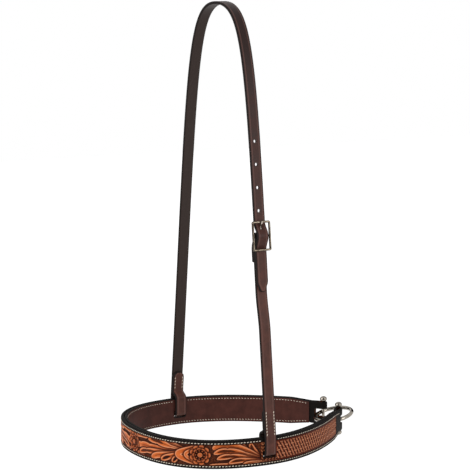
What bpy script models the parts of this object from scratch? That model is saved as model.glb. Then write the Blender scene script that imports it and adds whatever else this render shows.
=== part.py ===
"""Bridle noseband: a two-ply leather band closed by a ring, hung on a buckled head strap.

Metres, +Z up. The origin is the underside of the crown, where the head carries the strap.
The nose faces -Y, the ring is at +Y under the chin, and the buckle is on the +X (near) cheek.

Every leather piece is drawn flat, cut flat and then bent. On the flat pattern X runs along the
piece, Y across it and Z through it. A Path in a plane then says where each place along it goes.
"""
import math

import bmesh
import bpy
from mathutils import Matrix, Vector

FIT = 0.0003

# Band: two plies, sewn flesh to flesh round the hoop's middle line
BAND_WIDTH = 0.0286
BAND_END_WIDTH = 0.0240
BAND_TAPER = 0.022
OUTER_PLY = 0.0037
LINER_PLY = 0.0030

# Hoop, seen from above, nose to pins
HOOP_WIDTH = 0.196
HOOP_LENGTH = 0.2322
NOSE_TO_CHEEK = 0.0977
CHIN_ANGLE = math.radians(50)
NOSE_HANDLE_SHARE = 0.631
CHEEK_HANDLE_SHARE = 0.662
JAW_HANDLE_SHARE = 0.394
CHIN_HANDLE_SHARE = 0.364

# Ring and pins that close the band
RING_RADIUS = 0.0199
RING_WIRE_RADIUS = 0.0021
RING_AHEAD = 0.0035
RING_TILT = math.radians(12)
RING_SWING_ROOM = 0.0025
RING_SLOT_CLEARANCE = 0.0013
PIN_RADIUS = 0.0016
PIN_CLEARANCE = 0.0004
PIN_BALL_RADIUS = 0.0035
FOLD_SEWN = 0.0055
FOLD_SKIVE_SHARE = 0.6

# Head strap
STRAP_WIDTH = 0.0127
STRAP_THICKNESS = 0.0030
CROWN_HEIGHT = 0.4452
LEG_HANDLE_SHARES = (0.648, 0.826)
CROWN_HANDLE_SHARE = 0.668

# Loops of the head strap through the band
SLOT_DROP = 0.0172
SLOT_HEIGHT = 0.0068
SLOT_SIDE_CLEARANCE = 0.0010
LOOP_GAP_OUTSIDE = 0.0004
LOOP_GAP_INSIDE = 0.0011
LOOP_CORNER = 0.0015
LOOP_RISE = 0.0010
LOOP_NECK = 0.0080
LOOP_SEWN = 0.0210
LOOP_POINT = 0.0040

# Buckle
BUCKLE_RISE = 0.216
BUCKLE_HEIGHT = 0.0302
BUCKLE_WIRE = 0.0022
BUCKLE_CORNER = 0.0026
BUCKLE_BOW = 0.0042
BUCKLE_SIDE_CLEARANCE = 0.00195
BUCKLE_BAR_CLEARANCE = 0.0016
BAR_FOLD_CLEARANCE = 0.0003
TONGUE_RADIUS = 0.0010
TONGUE_OVERHANG = 0.0012
TONGUE_TURN = math.radians(250)
TONGUE_SIDE_CLEARANCE = 0.0010
TONGUE_SLOT_ROOM = 0.0024

# Billet and buckle fold
BILLET_TAIL = 0.056
BILLET_POINT = 0.0095
HOLE_RADIUS = 0.00175
HOLE_PITCH = 0.0231
HOLE_COUNT = 4
HOLE_ROW_RISE = 0.0035
TONGUE_HOLE_SHARES = (-0.045, 0.76)
CHEEK_FOLD_TAIL = 0.028
CHEEK_SKIVE_SHARE = 0.67
CHEEK_SKIVE_LENGTH = 0.010
CHEEK_BLEND = 0.040

# Thread, a flat line of stitches on each face
THREAD_WIDTH = 0.0009
THREAD_DEPTH = 0.0005
BAND_SEAM_INSET = 0.0026
STRAP_SEAM_INSET = 0.0020
SEAM_SLOT_ROOM = 0.0020

# How finely the bent pieces follow their paths
SAG = 0.00006
FINEST_TURN = math.radians(28)
FLAT_TURN = math.radians(1)
BEVEL_TURN = math.radians(50)
PATH_STEP = 0.0008
STATION_ROOM = 0.0003
EDGE_ROUND = 0.0006
WIRE_ROUND = 0.0007
OVERRUN = 0.001
WELD = 0.000001
MERGE = 0.00001
ROUND_STEPS = 24
CURVE_POINTS = 160
RING_STEPS = 56
WIRE_STEPS = 12

# Worked out from the sizes above
PIN_SPACING = 2 * math.sqrt((RING_RADIUS - RING_WIRE_RADIUS - FIT - PIN_RADIUS) ** 2 - RING_AHEAD ** 2)
PIN_WRAP = PIN_RADIUS + PIN_CLEARANCE
PIN_BALL_Z = BAND_END_WIDTH / 2 + FIT + PIN_BALL_RADIUS
RING_SLOT_HEIGHT = 2 * (RING_WIRE_RADIUS + RING_SWING_ROOM)
PINS_Y = HOOP_LENGTH - NOSE_TO_CHEEK
BAND_MIDDLE_Z = -(CROWN_HEIGHT - STRAP_THICKNESS / 2)
SLOT_Z = BAND_WIDTH / 2 - SLOT_DROP
SLOT_HALF = STRAP_WIDTH / 2 + SLOT_SIDE_CLEARANCE
LOOP_OUTSIDE_X = HOOP_WIDTH / 2 + FIT / 2 + OUTER_PLY + LOOP_GAP_OUTSIDE + STRAP_THICKNESS / 2
LOOP_INSIDE_X = HOOP_WIDTH / 2 - FIT / 2 - LINER_PLY - LOOP_GAP_INSIDE - STRAP_THICKNESS / 2
BUCKLE_WIDTH = STRAP_WIDTH + 2 * (BUCKLE_SIDE_CLEARANCE + BUCKLE_WIRE)
BUCKLE_END_BAR = BUCKLE_HEIGHT / 2 - BUCKLE_WIRE / 2
BAR_REACH = math.hypot(BUCKLE_WIRE, BUCKLE_WIRE) / 2
FOLD_RADIUS = BAR_REACH + BAR_FOLD_CLEARANCE + STRAP_THICKNESS * CHEEK_SKIVE_SHARE / 2
WAVE_LOW = BUCKLE_BOW - BUCKLE_WIRE / 2 - BUCKLE_BAR_CLEARANCE - STRAP_THICKNESS / 2
WAVE_HIGH = FOLD_RADIUS + STRAP_THICKNESS * CHEEK_SKIVE_SHARE / 2 + FIT + STRAP_THICKNESS / 2
TONGUE_LOOP = BAR_REACH + BAR_FOLD_CLEARANCE + TONGUE_RADIUS
TONGUE_SLOT_WIDTH = 2 * (TONGUE_RADIUS + TONGUE_SIDE_CLEARANCE)
TONGUE_SLOT_REACH = TONGUE_LOOP + TONGUE_RADIUS + TONGUE_SLOT_ROOM

TOOLED_TAN = (0.52, 0.20, 0.09)
DARK_LEATHER = (0.065, 0.035, 0.028)
CREAM_THREAD = (0.75, 0.68, 0.58)
BRIGHT_STEEL = (0.62, 0.60, 0.57)
DULL_NICKEL = (0.36, 0.34, 0.31)


def ease(share):
    share = min(1.0, max(0.0, share))
    return share * share * (3 - 2 * share)


def bezier(start, handle_1, handle_2, end):
    points = []
    for i in range(CURVE_POINTS + 1):
        t = i / CURVE_POINTS
        weights = ((1 - t) ** 3, 3 * t * (1 - t) ** 2, 3 * t * t * (1 - t), t ** 3)
        ends = (start, handle_1, handle_2, end)
        points.append(sum((p * w for p, w in zip(ends, weights)), Vector((0, 0))))
    return points


def arc(centre, radius, start, turn, steps=ROUND_STEPS):
    angles = (start + turn * i / steps for i in range(steps + 1))
    return [Vector(centre) + radius * Vector((math.cos(a), math.sin(a))) for a in angles]


def mirrored(points):
    return [Vector((-p.x, p.y)) for p in points]


def backwards(points):
    return list(reversed(points))


class Path:
    """A line in a plane, measured along its length. Its normal is on the right of the travel."""

    def __init__(self, points, zero=0):
        self.points, marks = [], []
        for point in points:
            if not self.points or (point - self.points[-1]).length > WELD:
                self.points.append(Vector(point))
            marks.append(len(self.points) - 1)
        places = [0.0]
        for before, after in zip(self.points, self.points[1:]):
            places.append(places[-1] + (after - before).length)
        self.places = [place - places[marks[zero]] for place in places]
        self.marks = [self.places[mark] for mark in marks]
        self.normals = [self.normal(i) for i in range(len(self.points))]

    def normal(self, i):
        along = self.points[min(i + 1, len(self.points) - 1)] - self.points[max(i - 1, 0)]
        return Vector((along.y, -along.x)).normalized()

    def at(self, place):
        low, high = 0, len(self.places) - 2
        while low < high:
            middle = (low + high + 1) // 2
            low, high = (middle, high) if self.places[middle] <= place else (low, middle - 1)
        share = (place - self.places[low]) / (self.places[low + 1] - self.places[low])
        point = self.points[low].lerp(self.points[low + 1], share)
        return point, self.normals[low].lerp(self.normals[low + 1], share).normalized()

    def beside(self, start, end, offset):
        """Points from start to end, moved off the path to its right by offset(place)."""
        count = max(2, math.ceil(abs(end - start) / PATH_STEP))
        places = [start + (end - start) * i / count for i in range(count + 1)]
        return [point + normal * offset(place) for place in places for point, normal in [self.at(place)]]

    def stations(self):
        """Places that cut the path into chords that stay within SAG of it."""
        found, last = [], 0
        for i in range(1, len(self.points) - 1):
            turn = self.normals[last].angle(self.normals[i])
            if (self.places[i] - self.places[last]) * turn / 8 > SAG or turn > FINEST_TURN:
                found.append(self.places[i])
                last = i
        return found


def ring_slot_reach():
    """From the pin to the far side of the ring's wire, along the fold's inner face, and clear."""
    inward = Vector((math.sin(CHIN_ANGLE), -math.cos(CHIN_ANGLE)))
    outward = Vector((math.cos(CHIN_ANGLE), math.sin(CHIN_ANGLE)))
    start = Vector((PIN_SPACING / 2, -RING_AHEAD)) - outward * (PIN_WRAP + OUTER_PLY * FOLD_SKIVE_SHARE)
    along = start.dot(inward)
    beyond = start.length_squared - (RING_RADIUS + RING_WIRE_RADIUS) ** 2
    return math.sqrt(along * along - beyond) - along + RING_SLOT_CLEARANCE


def fold_tab():
    return ring_slot_reach() + FOLD_SEWN


def hoop_path():
    """The band's middle line, far pin to near pin, with its widest place on the near side."""
    half, behind = HOOP_WIDTH / 2, PINS_Y
    nose, cheek = Vector((0, -NOSE_TO_CHEEK)), Vector((half, 0))
    pin = Vector((PIN_SPACING / 2, behind))
    inward = Vector((math.sin(CHIN_ANGLE), -math.cos(CHIN_ANGLE)))
    front = bezier(nose, nose + Vector((half * NOSE_HANDLE_SHARE, 0)),
                   cheek - Vector((0, NOSE_TO_CHEEK * CHEEK_HANDLE_SHARE)), cheek)
    back = bezier(cheek, cheek + Vector((0, behind * JAW_HANDLE_SHARE)),
                  pin + inward * behind * CHIN_HANDLE_SHARE, pin)
    line = front + back[1:]
    path = Path(mirrored(backwards(line))[:-1] + line, zero=len(line) - 1)
    return path, path.marks[len(line) + len(front) - 2]


def outer_ply_path(hoop, cheek):
    """Flesh side of the outer ply: along the hoop, round each pin and back inside it.

    Also gives the places of the near cheek, of the tab's start and of the wrap's middle.
    """
    end = hoop.places[-1]
    tab = end - fold_tab()

    def offset(place):
        return FIT / 2 + (PIN_WRAP - FIT / 2) * ease((place - tab) / (end - tab))

    pin, normal = hoop.at(end)
    to_cheek = hoop.beside(0, cheek, offset)
    to_tab = to_cheek + hoop.beside(cheek, tab, offset)[1:]
    to_pin = to_tab + hoop.beside(tab, end, offset)[1:]
    wrap = arc(pin, PIN_WRAP, math.atan2(normal.y, normal.x), math.pi)
    line = to_pin + wrap[1:] + hoop.beside(end, tab, lambda place: -offset(place))[1:]
    path = Path(mirrored(backwards(line))[:-1] + line, zero=len(line) - 1)
    nose = len(line) - 1
    stops = (len(to_cheek) - 1, len(to_tab) - 1, len(to_pin) - 1 + ROUND_STEPS // 2)
    return (path, *(path.marks[nose + stop] for stop in stops))


def leg_path():
    """Middle of the strap on the near side, from beside the band's top edge to the crown."""
    foot = Vector((LOOP_OUTSIDE_X, BAND_WIDTH / 2 + LOOP_RISE))
    handle = Vector((HOOP_WIDTH / 2 * LEG_HANDLE_SHARES[0], CROWN_HEIGHT * LEG_HANDLE_SHARES[1]))
    shoulder = Vector((HOOP_WIDTH / 2 * CROWN_HANDLE_SHARE, CROWN_HEIGHT))
    leg = Path(bezier(foot, handle, shoulder, Vector((0, CROWN_HEIGHT))))
    above = next(i for i, point in enumerate(leg.points) if point.y >= BUCKLE_RISE)
    low, high = leg.points[above - 1].y, leg.points[above].y
    share = (BUCKLE_RISE - low) / (high - low)
    return leg, leg.places[above - 1] + share * (leg.places[above] - leg.places[above - 1])


def loop_points(leg):
    """From the sewn end inside the band, down, out through the slot and up to the leg's foot."""
    corner = LOOP_CORNER + STRAP_THICKNESS / 2
    foot = leg.points[0]
    top = Vector((LOOP_INSIDE_X, foot.y))
    sewn = leg.beside(LOOP_NECK + LOOP_SEWN, LOOP_NECK, lambda place: -(STRAP_THICKNESS + FIT))
    down = (sewn[-1] - sewn[-2]).normalized()
    neck = bezier(sewn[-1], sewn[-1] + down * LOOP_NECK / 2, top + Vector((0, LOOP_NECK / 2)), top)
    turn_out = arc((LOOP_INSIDE_X + corner, SLOT_Z + corner), corner, math.pi, math.pi / 2)
    turn_up = arc((foot.x - corner, SLOT_Z + corner), corner, -math.pi / 2, math.pi / 2)
    return sewn + neck[1:] + turn_out + turn_up + [foot]


def billet_offset(bar):
    """How far outside the leg's line the billet's middle runs, as it waves through the buckle."""
    def offset(place):
        above = place - bar
        if above > BUCKLE_END_BAR:
            return WAVE_LOW * (1 - ease((above - BUCKLE_END_BAR) / CHEEK_BLEND))
        share = min(1.0, abs(above) / BUCKLE_END_BAR)
        return WAVE_LOW + (WAVE_HIGH - WAVE_LOW) * (1 + math.cos(math.pi * share)) / 2
    return offset


def crown_strap_path(leg, bar):
    """Billet tip, buckle, near leg, crown, far leg, far loop. Measured from the buckle's bar."""
    line = leg.beside(bar - BILLET_TAIL, bar, billet_offset(bar))
    zero = len(line) - 1
    line += leg.beside(bar, leg.places[-1], billet_offset(bar))[1:]
    line += mirrored(backwards(leg.points))[1:]
    far_foot = len(line) - 1
    line += mirrored(backwards(loop_points(leg)))[1:]
    path = Path(line, zero=zero)
    return path, path.marks[far_foot]


def cheek_skive(below_bar):
    return CHEEK_SKIVE_SHARE + (1 - CHEEK_SKIVE_SHARE) * ease(below_bar / CHEEK_SKIVE_LENGTH)


def cheek_strap_path(leg, bar):
    """Near loop, near leg, round the buckle's bar and down inside. Measured from the fold."""
    tail = bar - BILLET_TAIL
    under = WAVE_LOW - STRAP_THICKNESS - FIT
    line = loop_points(leg)
    near_foot = len(line) - 1
    line += leg.beside(0, tail, lambda place: under * ease((place - tail + CHEEK_BLEND) / CHEEK_BLEND))[1:]
    billet = Path(leg.beside(tail, bar, billet_offset(bar)))
    length = billet.places[-1]

    def under_billet(place):
        return -(STRAP_THICKNESS / 2 + FIT + STRAP_THICKNESS * cheek_skive(length - place) / 2)

    front = Path(billet.beside(0, length, under_billet))
    span = front.places[-1]
    eye = 2 * (FOLD_RADIUS - STRAP_THICKNESS * CHEEK_SKIVE_SHARE / 2)

    def to_back_ply(place):
        below = span - place
        opening = FIT + (eye - FIT) * (1 - ease(below / CHEEK_SKIVE_LENGTH))
        return -(STRAP_THICKNESS * cheek_skive(below) + opening)

    centre, normal = leg.at(bar)
    line += front.points[1:]
    zero = len(line) - 1 + ROUND_STEPS // 2
    line += arc(centre, FOLD_RADIUS, math.atan2(normal.y, normal.x), math.pi)[1:]
    line += front.beside(span, span - CHEEK_FOLD_TAIL, to_back_ply)[1:]
    path = Path(line, zero=zero)
    return path, path.marks[near_foot]


def bar_frame(leg, bar):
    """The buckle's centre bar, with the strap's outward and upward directions there."""
    centre, outward = leg.at(bar)
    return centre, outward, Vector((-outward.y, outward.x))


def buckle_path(leg, bar):
    """The frame's bow, bottom bar to top bar, with its end bars outside the centre bar."""
    centre, outward, up = bar_frame(leg, bar)
    reach = BUCKLE_HEIGHT / 2 + OVERRUN
    points = []
    for i in range(2 * ROUND_STEPS + 1):
        rise = reach * (i / ROUND_STEPS - 1)
        points.append(centre + up * rise + outward * BUCKLE_BOW * (rise / BUCKLE_END_BAR) ** 2)
    return Path(points, zero=ROUND_STEPS)


def tongue_points(leg, bar):
    """Round the centre bar, then straight up to the top bar's outer side."""
    centre, outward, up = bar_frame(leg, bar)
    rest = Vector((BUCKLE_BOW + BUCKLE_WIRE / 2 + FIT + TONGUE_RADIUS, BUCKLE_END_BAR))
    leave = math.atan2(rest.y, rest.x) - math.acos(TONGUE_LOOP / rest.length)
    loop = arc((0, 0), TONGUE_LOOP, leave - TONGUE_TURN, TONGUE_TURN, ROUND_STEPS // 2)
    tip = rest + (rest - loop[-1]).normalized() * (BUCKLE_WIRE / 2 + TONGUE_OVERHANG)
    return [centre + outward * p.x + up * p.y for p in loop + [tip]]


def box_outline(start, end, half_width, middle=0.0):
    low, high = middle - half_width, middle + half_width
    return [(start, low), (end, low), (end, high), (start, high)]


def slot_outline(start, end, radius):
    """A punched slot with round ends. One no longer than it is wide is a round hole."""
    middle = (start + end) / 2
    reach = max(0.0, (end - start) / 2 - radius)
    right = arc((middle + reach, 0), radius, -math.pi / 2, math.pi, ROUND_STEPS // 4)
    left = arc((middle - reach, 0), radius, math.pi / 2, math.pi, ROUND_STEPS // 4)
    outline = [tuple(p) for p in right + left]
    return [p for i, p in enumerate(outline) if math.dist(p, outline[i - 1]) > WELD]


def band_outline(end, taper_end):
    wide, narrow = BAND_WIDTH / 2, BAND_END_WIDTH / 2
    right = [(taper_end - BAND_TAPER, wide), (taper_end, narrow)]
    right += [(end, narrow)] if end > taper_end else []
    top = [(-x, y) for x, y in reversed(right)] + right
    return top + [(x, -y) for x, y in reversed(top)]


def slot_holes(cheek):
    """The band's two slots for the head strap."""
    return [box_outline(side * cheek - SLOT_HALF, side * cheek + SLOT_HALF, SLOT_HEIGHT / 2, SLOT_Z)
            for side in (-1, 1)]


def band_seam(end, cheek):
    """Stitch line round a band pattern, save over the nose, where the head strap divides it."""
    loops = []
    for inset in (BAND_SEAM_INSET - THREAD_WIDTH / 2, BAND_SEAM_INSET + THREAD_WIDTH / 2):
        wide, narrow = BAND_WIDTH / 2 - inset, BAND_END_WIDTH / 2 - inset
        top = [(cheek + SLOT_HALF + SEAM_SLOT_ROOM, wide), (end - BAND_TAPER, wide), (end - inset, narrow)]
        half = top + [(x, -y) for x, y in reversed(top[1:])]
        loops.append(half + [(-x, y) for x, y in reversed(half)])
    return loops[0] + loops[1][::-1]


def nose_seam(cheek):
    """The stretch of the top row between the two slots."""
    end = cheek - SLOT_HALF - SEAM_SLOT_ROOM
    return box_outline(-end, end, THREAD_WIDTH / 2, BAND_WIDTH / 2 - BAND_SEAM_INSET)


def strap_outline(start, end, start_point, end_point):
    """A strap pattern with a blunt point at either end; a point of zero leaves the end square."""
    half = STRAP_WIDTH / 2
    tip = half / 3
    right = [(end - end_point, half), (end, tip), (end, -tip), (end - end_point, -half)]
    left = [(start + start_point, -half), (start, -tip), (start, tip), (start + start_point, half)]
    square_right, square_left = [(end, half), (end, -half)], [(start, -half), (start, half)]
    return (right if end_point else square_right) + (left if start_point else square_left)


def strap_seam(start, end, point):
    """Two rows of stitches from start that meet at end, in a blunt point or square."""
    rims = []
    for inset in (STRAP_SEAM_INSET - THREAD_WIDTH / 2, STRAP_SEAM_INSET + THREAD_WIDTH / 2):
        half, tip = STRAP_WIDTH / 2 - inset, end - math.copysign(inset, end - start)
        top = [(start, half)] + ([(tip - point, half), (tip, half / 3)] if point else [(tip, half)])
        rims.append(top + [(x, -y) for x, y in reversed(top)])
    return rims[0] + rims[1][::-1]


def flat_mesh(outlines, low, high):
    """Outlines drawn as one filled flat curve. Those that lie inside another are holes in it."""
    curve = bpy.data.curves.new("pattern", "CURVE")
    curve.dimensions = "2D"
    curve.fill_mode = "BOTH"
    curve.extrude = (high - low) / 2
    for outline in outlines:
        spline = curve.splines.new("POLY")
        spline.points.add(len(outline) - 1)
        for point, (x, y) in zip(spline.points, outline):
            point.co = (x, y, 0, 1)
        spline.use_cyclic_u = True
    drawing = bpy.data.objects.new("pattern", curve)
    bpy.context.scene.collection.objects.link(drawing)
    shape = bpy.data.meshes.new_from_object(drawing.evaluated_get(bpy.context.evaluated_depsgraph_get()))
    bpy.data.objects.remove(drawing, do_unlink=True)
    mesh = bmesh.new()
    mesh.from_mesh(shape)
    bpy.data.meshes.remove(shape)
    bmesh.ops.remove_doubles(mesh, verts=mesh.verts, dist=WELD)
    for vert in mesh.verts:
        vert.co.z = high if vert.co.z > 0 else low
    bmesh.ops.recalc_face_normals(mesh, faces=mesh.faces)
    return mesh


def cut_across(mesh, places):
    """Cuts a flat pattern across at the places, with no other edges over its flat faces."""
    for place in places:
        everything = mesh.verts[:] + mesh.edges[:] + mesh.faces[:]
        bmesh.ops.bisect_plane(mesh, geom=everything, plane_co=(place, 0, 0), plane_no=(1, 0, 0), dist=WELD)
    mesh.normal_update()
    walls = {face for face in mesh.faces if face.normal.xy.length > math.sin(FLAT_TURN)}
    spare = [edge for edge in mesh.edges if abs(edge.verts[0].co.x - edge.verts[1].co.x) > WELD
             and walls.isdisjoint(edge.link_faces)]
    bmesh.ops.dissolve_edges(mesh, edges=spare)
    bmesh.ops.dissolve_verts(mesh, verts=[vert for vert in mesh.verts if len(vert.link_edges) == 2])


def in_plan(point, side):
    return Vector((point.x, point.y, side + BAND_MIDDLE_Z))


def in_side_view(point, side):
    return Vector((point.x, side, point.y + BAND_MIDDLE_Z))


def cutting_places(mesh, path):
    """The pattern's own corners, then the path's stations that aren't next to a corner."""
    corners = []
    for place in sorted(vert.co.x for vert in mesh.verts):
        if not corners or place - corners[-1] > WELD:
            corners.append(place)
    spare = [place for place in path.stations()
             if min(abs(place - corner) for corner in corners) > STATION_ROOM]
    return corners[1:-1] + spare


def bent(name, mesh, path, view, skive=None):
    """Lays a flat pattern along a path; skive(place) is the share of its thickness that is left."""
    cut_across(mesh, cutting_places(mesh, path))
    for vert in mesh.verts:
        place, side, depth = vert.co
        point, normal = path.at(place)
        vert.co = view(point + normal * depth * (skive(place) if skive else 1), side)
    if mesh.calc_volume(signed=True) < 0:
        bmesh.ops.reverse_faces(mesh, faces=mesh.faces)
    return part(name, mesh)


def part(name, mesh):
    data = bpy.data.meshes.new(name)
    mesh.to_mesh(data)
    mesh.free()
    item = bpy.data.objects.new(name, data)
    bpy.data.collections["bridle_noseband"].objects.link(item)
    return item


def turned_on(item, point):
    """Puts the object's origin at a point of its joint's axis, and leaves its shape in place."""
    item.data.transform(Matrix.Translation(-point))
    item.location = point
    return item


def rounded(item, width=EDGE_ROUND):
    edge = item.modifiers.new("edge", "BEVEL")
    edge.width = width
    edge.segments = 1
    edge.limit_method = "ANGLE"
    edge.angle_limit = BEVEL_TURN
    return item


def paint(item, colour, roughness, metallic=0.0):
    material = bpy.data.materials.new(item.name)
    material.use_nodes = True
    shader = material.node_tree.nodes["Principled BSDF"]
    shader.inputs["Base Color"].default_value = (*colour, 1)
    shader.inputs["Roughness"].default_value = roughness
    shader.inputs["Metallic"].default_value = metallic
    item.data.materials.append(material)
    return item


def make_band():
    hoop, cheek = hoop_path()
    path, outer_cheek, outer_tab, wrap = outer_ply_path(hoop, cheek)
    liner_end = hoop.places[-1] - fold_tab() - FIT
    wrap_half = math.pi * PIN_WRAP / 2
    rock = Vector((0, 0, BAND_MIDDLE_Z + SLOT_Z))
    liner_face = -FIT / 2 - LINER_PLY

    def skive(place):
        """Thinned round the pin, and no thicker than the liner on the way back."""
        beyond_pin = ease((abs(abs(place) - wrap) - wrap_half) / fold_tab())
        left = FOLD_SKIVE_SHARE + (1 - FOLD_SKIVE_SHARE) * beyond_pin
        return left if abs(place) < wrap else min(left, LINER_PLY / OUTER_PLY)

    slot = wrap_half + ring_slot_reach()
    ring_slots = [box_outline(side * wrap - slot, side * wrap + slot, RING_SLOT_HEIGHT / 2)
                  for side in (-1, 1)]
    pattern = [band_outline(path.places[-1], outer_tab)] + slot_holes(outer_cheek) + ring_slots
    outer = bent("noseband_outer", flat_mesh(pattern, 0, OUTER_PLY), path, in_plan, skive)
    turned_on(rounded(paint(outer, TOOLED_TAN, 0.45)), rock)

    pattern = [band_outline(liner_end, liner_end)] + slot_holes(cheek)
    liner = bent("noseband_liner", flat_mesh(pattern, liner_face, -FIT / 2), hoop, in_plan)
    turned_on(rounded(paint(liner, DARK_LEATHER, 0.5)), rock)

    face = OUTER_PLY + FIT
    for name, seam in (("noseband_outer_thread", band_seam(outer_tab, outer_cheek)),
                       ("nose_outer_thread", nose_seam(outer_cheek))):
        thread = bent(name, flat_mesh([seam], face, face + THREAD_DEPTH), path, in_plan, skive)
        turned_on(paint(thread, CREAM_THREAD, 0.8), rock)

    face = liner_face - FIT
    for name, seam in (("noseband_inner_thread", band_seam(liner_end, cheek)),
                       ("nose_inner_thread", nose_seam(cheek))):
        thread = bent(name, flat_mesh([seam], face - THREAD_DEPTH, face), hoop, in_plan)
        turned_on(paint(thread, CREAM_THREAD, 0.8), rock)


def make_pin(name, x):
    """A shaft with a ball on each end, turned about its own axis."""
    neck = math.asin(PIN_RADIUS / PIN_BALL_RADIUS)
    ball_steps = ROUND_STEPS // 3
    top = arc((0, PIN_BALL_Z), PIN_BALL_RADIUS, math.pi / 2, neck - math.pi, ball_steps)
    bottom = arc((0, -PIN_BALL_Z), PIN_BALL_RADIUS, math.pi / 2 - neck, neck - math.pi, ball_steps)
    top[0].x = bottom[-1].x = 0
    mesh = bmesh.new()
    verts = [mesh.verts.new((p.x, 0, p.y)) for p in top + bottom]
    for pair in zip(verts, verts[1:]):
        mesh.edges.new(pair)
    pin = part(name, mesh)
    screw = pin.modifiers.new("turn", "SCREW")
    screw.steps = screw.render_steps = ROUND_STEPS
    screw.use_merge_vertices = True
    screw.merge_threshold = MERGE
    screw.use_smooth_shade = True
    pin.location = (x, PINS_Y, BAND_MIDDLE_Z)
    paint(pin, BRIGHT_STEEL, 0.15, 1.0)


def make_ring():
    """Hangs on the pins; it swings about the line through both, at the band's middle height."""
    bpy.ops.mesh.primitive_torus_add(major_radius=RING_RADIUS, minor_radius=RING_WIRE_RADIUS,
                                     major_segments=RING_STEPS, minor_segments=WIRE_STEPS)
    ring = bpy.context.object
    ring.name = ring.data.name = "chin_ring"
    for collection in list(ring.users_collection):
        collection.objects.unlink(ring)
    bpy.data.collections["bridle_noseband"].objects.link(ring)
    ring.data.transform(Matrix.Translation((0, RING_AHEAD, 0)))
    ring.location = (0, PINS_Y, BAND_MIDDLE_Z)
    ring.rotation_euler = (RING_TILT, 0, 0)
    ring.data.shade_smooth()
    paint(ring, BRIGHT_STEEL, 0.15, 1.0)


def make_crown_strap(leg, bar):
    path, far_foot = crown_strap_path(leg, bar)
    holes = [HOLE_ROW_RISE + HOLE_PITCH * i for i in range(1, HOLE_COUNT + 1)]
    tongue_hole = [BUCKLE_END_BAR * share for share in TONGUE_HOLE_SHARES]
    pattern = [strap_outline(path.places[0], path.places[-1], BILLET_POINT, LOOP_POINT),
               slot_outline(*tongue_hole, TONGUE_SLOT_WIDTH / 2)]
    pattern += [slot_outline(hole, hole, HOLE_RADIUS) for hole in holes]
    mesh = flat_mesh(pattern, -STRAP_THICKNESS / 2, STRAP_THICKNESS / 2)
    strap = bent("crown_strap", mesh, path, in_side_view)
    rounded(paint(strap, DARK_LEATHER, 0.5))

    face = STRAP_THICKNESS / 2 + FIT
    seam = [strap_seam(far_foot - LOOP_RISE, far_foot - LOOP_NECK - LOOP_SEWN, -LOOP_POINT)]
    thread = bent("far_loop_thread", flat_mesh(seam, face, face + THREAD_DEPTH), path, in_side_view)
    paint(thread, CREAM_THREAD, 0.8)


def make_cheek_strap(leg, bar):
    path, near_foot = cheek_strap_path(leg, bar)
    wrap_half = math.pi * FOLD_RADIUS / 2

    def skive(place):
        return cheek_skive(abs(place) - wrap_half)

    slot = wrap_half + TONGUE_SLOT_REACH
    pattern = [strap_outline(path.places[0], path.places[-1], LOOP_POINT, 0),
               slot_outline(-slot, slot, TONGUE_SLOT_WIDTH / 2)]
    mesh = flat_mesh(pattern, -STRAP_THICKNESS / 2, STRAP_THICKNESS / 2)
    rounded(paint(bent("near_cheek_strap", mesh, path, in_side_view, skive), DARK_LEATHER, 0.5))

    face = STRAP_THICKNESS / 2 + FIT
    seam = [strap_seam(near_foot + LOOP_RISE, near_foot + LOOP_NECK + LOOP_SEWN, LOOP_POINT)]
    thread = bent("near_loop_thread", flat_mesh(seam, face, face + THREAD_DEPTH), path, in_side_view)
    paint(thread, CREAM_THREAD, 0.8)

    seam = [strap_seam(wrap_half + CHEEK_SKIVE_LENGTH, path.places[-1], 0)]
    thread = bent("buckle_fold_thread", flat_mesh(seam, face, face + THREAD_DEPTH), path, in_side_view)
    paint(thread, CREAM_THREAD, 0.8)


def rounded_rectangle(length, width, corner):
    outline = []
    for i, (x, y) in enumerate(((1, -1), (1, 1), (-1, 1), (-1, -1))):
        centre = (x * (length / 2 - corner), y * (width / 2 - corner))
        outline += arc(centre, corner, math.pi / 2 * (i - 1), math.pi / 2, ROUND_STEPS // 6)
    return [tuple(p) for p in outline]


def make_buckle(leg, bar):
    """Frame and centre bar are one casting, bowed so the end bars stand clear of the strap."""
    window = box_outline(BUCKLE_WIRE / 2, BUCKLE_HEIGHT / 2 - BUCKLE_WIRE, BUCKLE_WIDTH / 2 - BUCKLE_WIRE)
    pattern = [rounded_rectangle(BUCKLE_HEIGHT, BUCKLE_WIDTH, BUCKLE_CORNER),
               window, [(-x, y) for x, y in window]]
    mesh = flat_mesh(pattern, -BUCKLE_WIRE / 2, BUCKLE_WIRE / 2)
    frame = bent("buckle_frame", mesh, buckle_path(leg, bar), in_side_view)
    centre = in_side_view(leg.at(bar)[0], 0)
    turned_on(rounded(paint(frame, DULL_NICKEL, 0.35, 1.0), WIRE_ROUND), centre)
    make_tongue(leg, bar, centre)


def make_tongue(leg, bar, centre):
    points = [in_side_view(point, 0) for point in tongue_points(leg, bar)]
    curve = bpy.data.curves.new("tongue", "CURVE")
    curve.dimensions = "3D"
    curve.bevel_depth = TONGUE_RADIUS
    curve.bevel_resolution = 2
    curve.use_fill_caps = True
    spline = curve.splines.new("POLY")
    spline.points.add(len(points) - 1)
    for point, place in zip(spline.points, points):
        point.co = (*(place - centre), 1)
    tongue = bpy.data.objects.new("buckle_tongue", curve)
    bpy.data.collections["bridle_noseband"].objects.link(tongue)
    tongue.location = centre
    paint(tongue, DULL_NICKEL, 0.35, 1.0)


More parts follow.
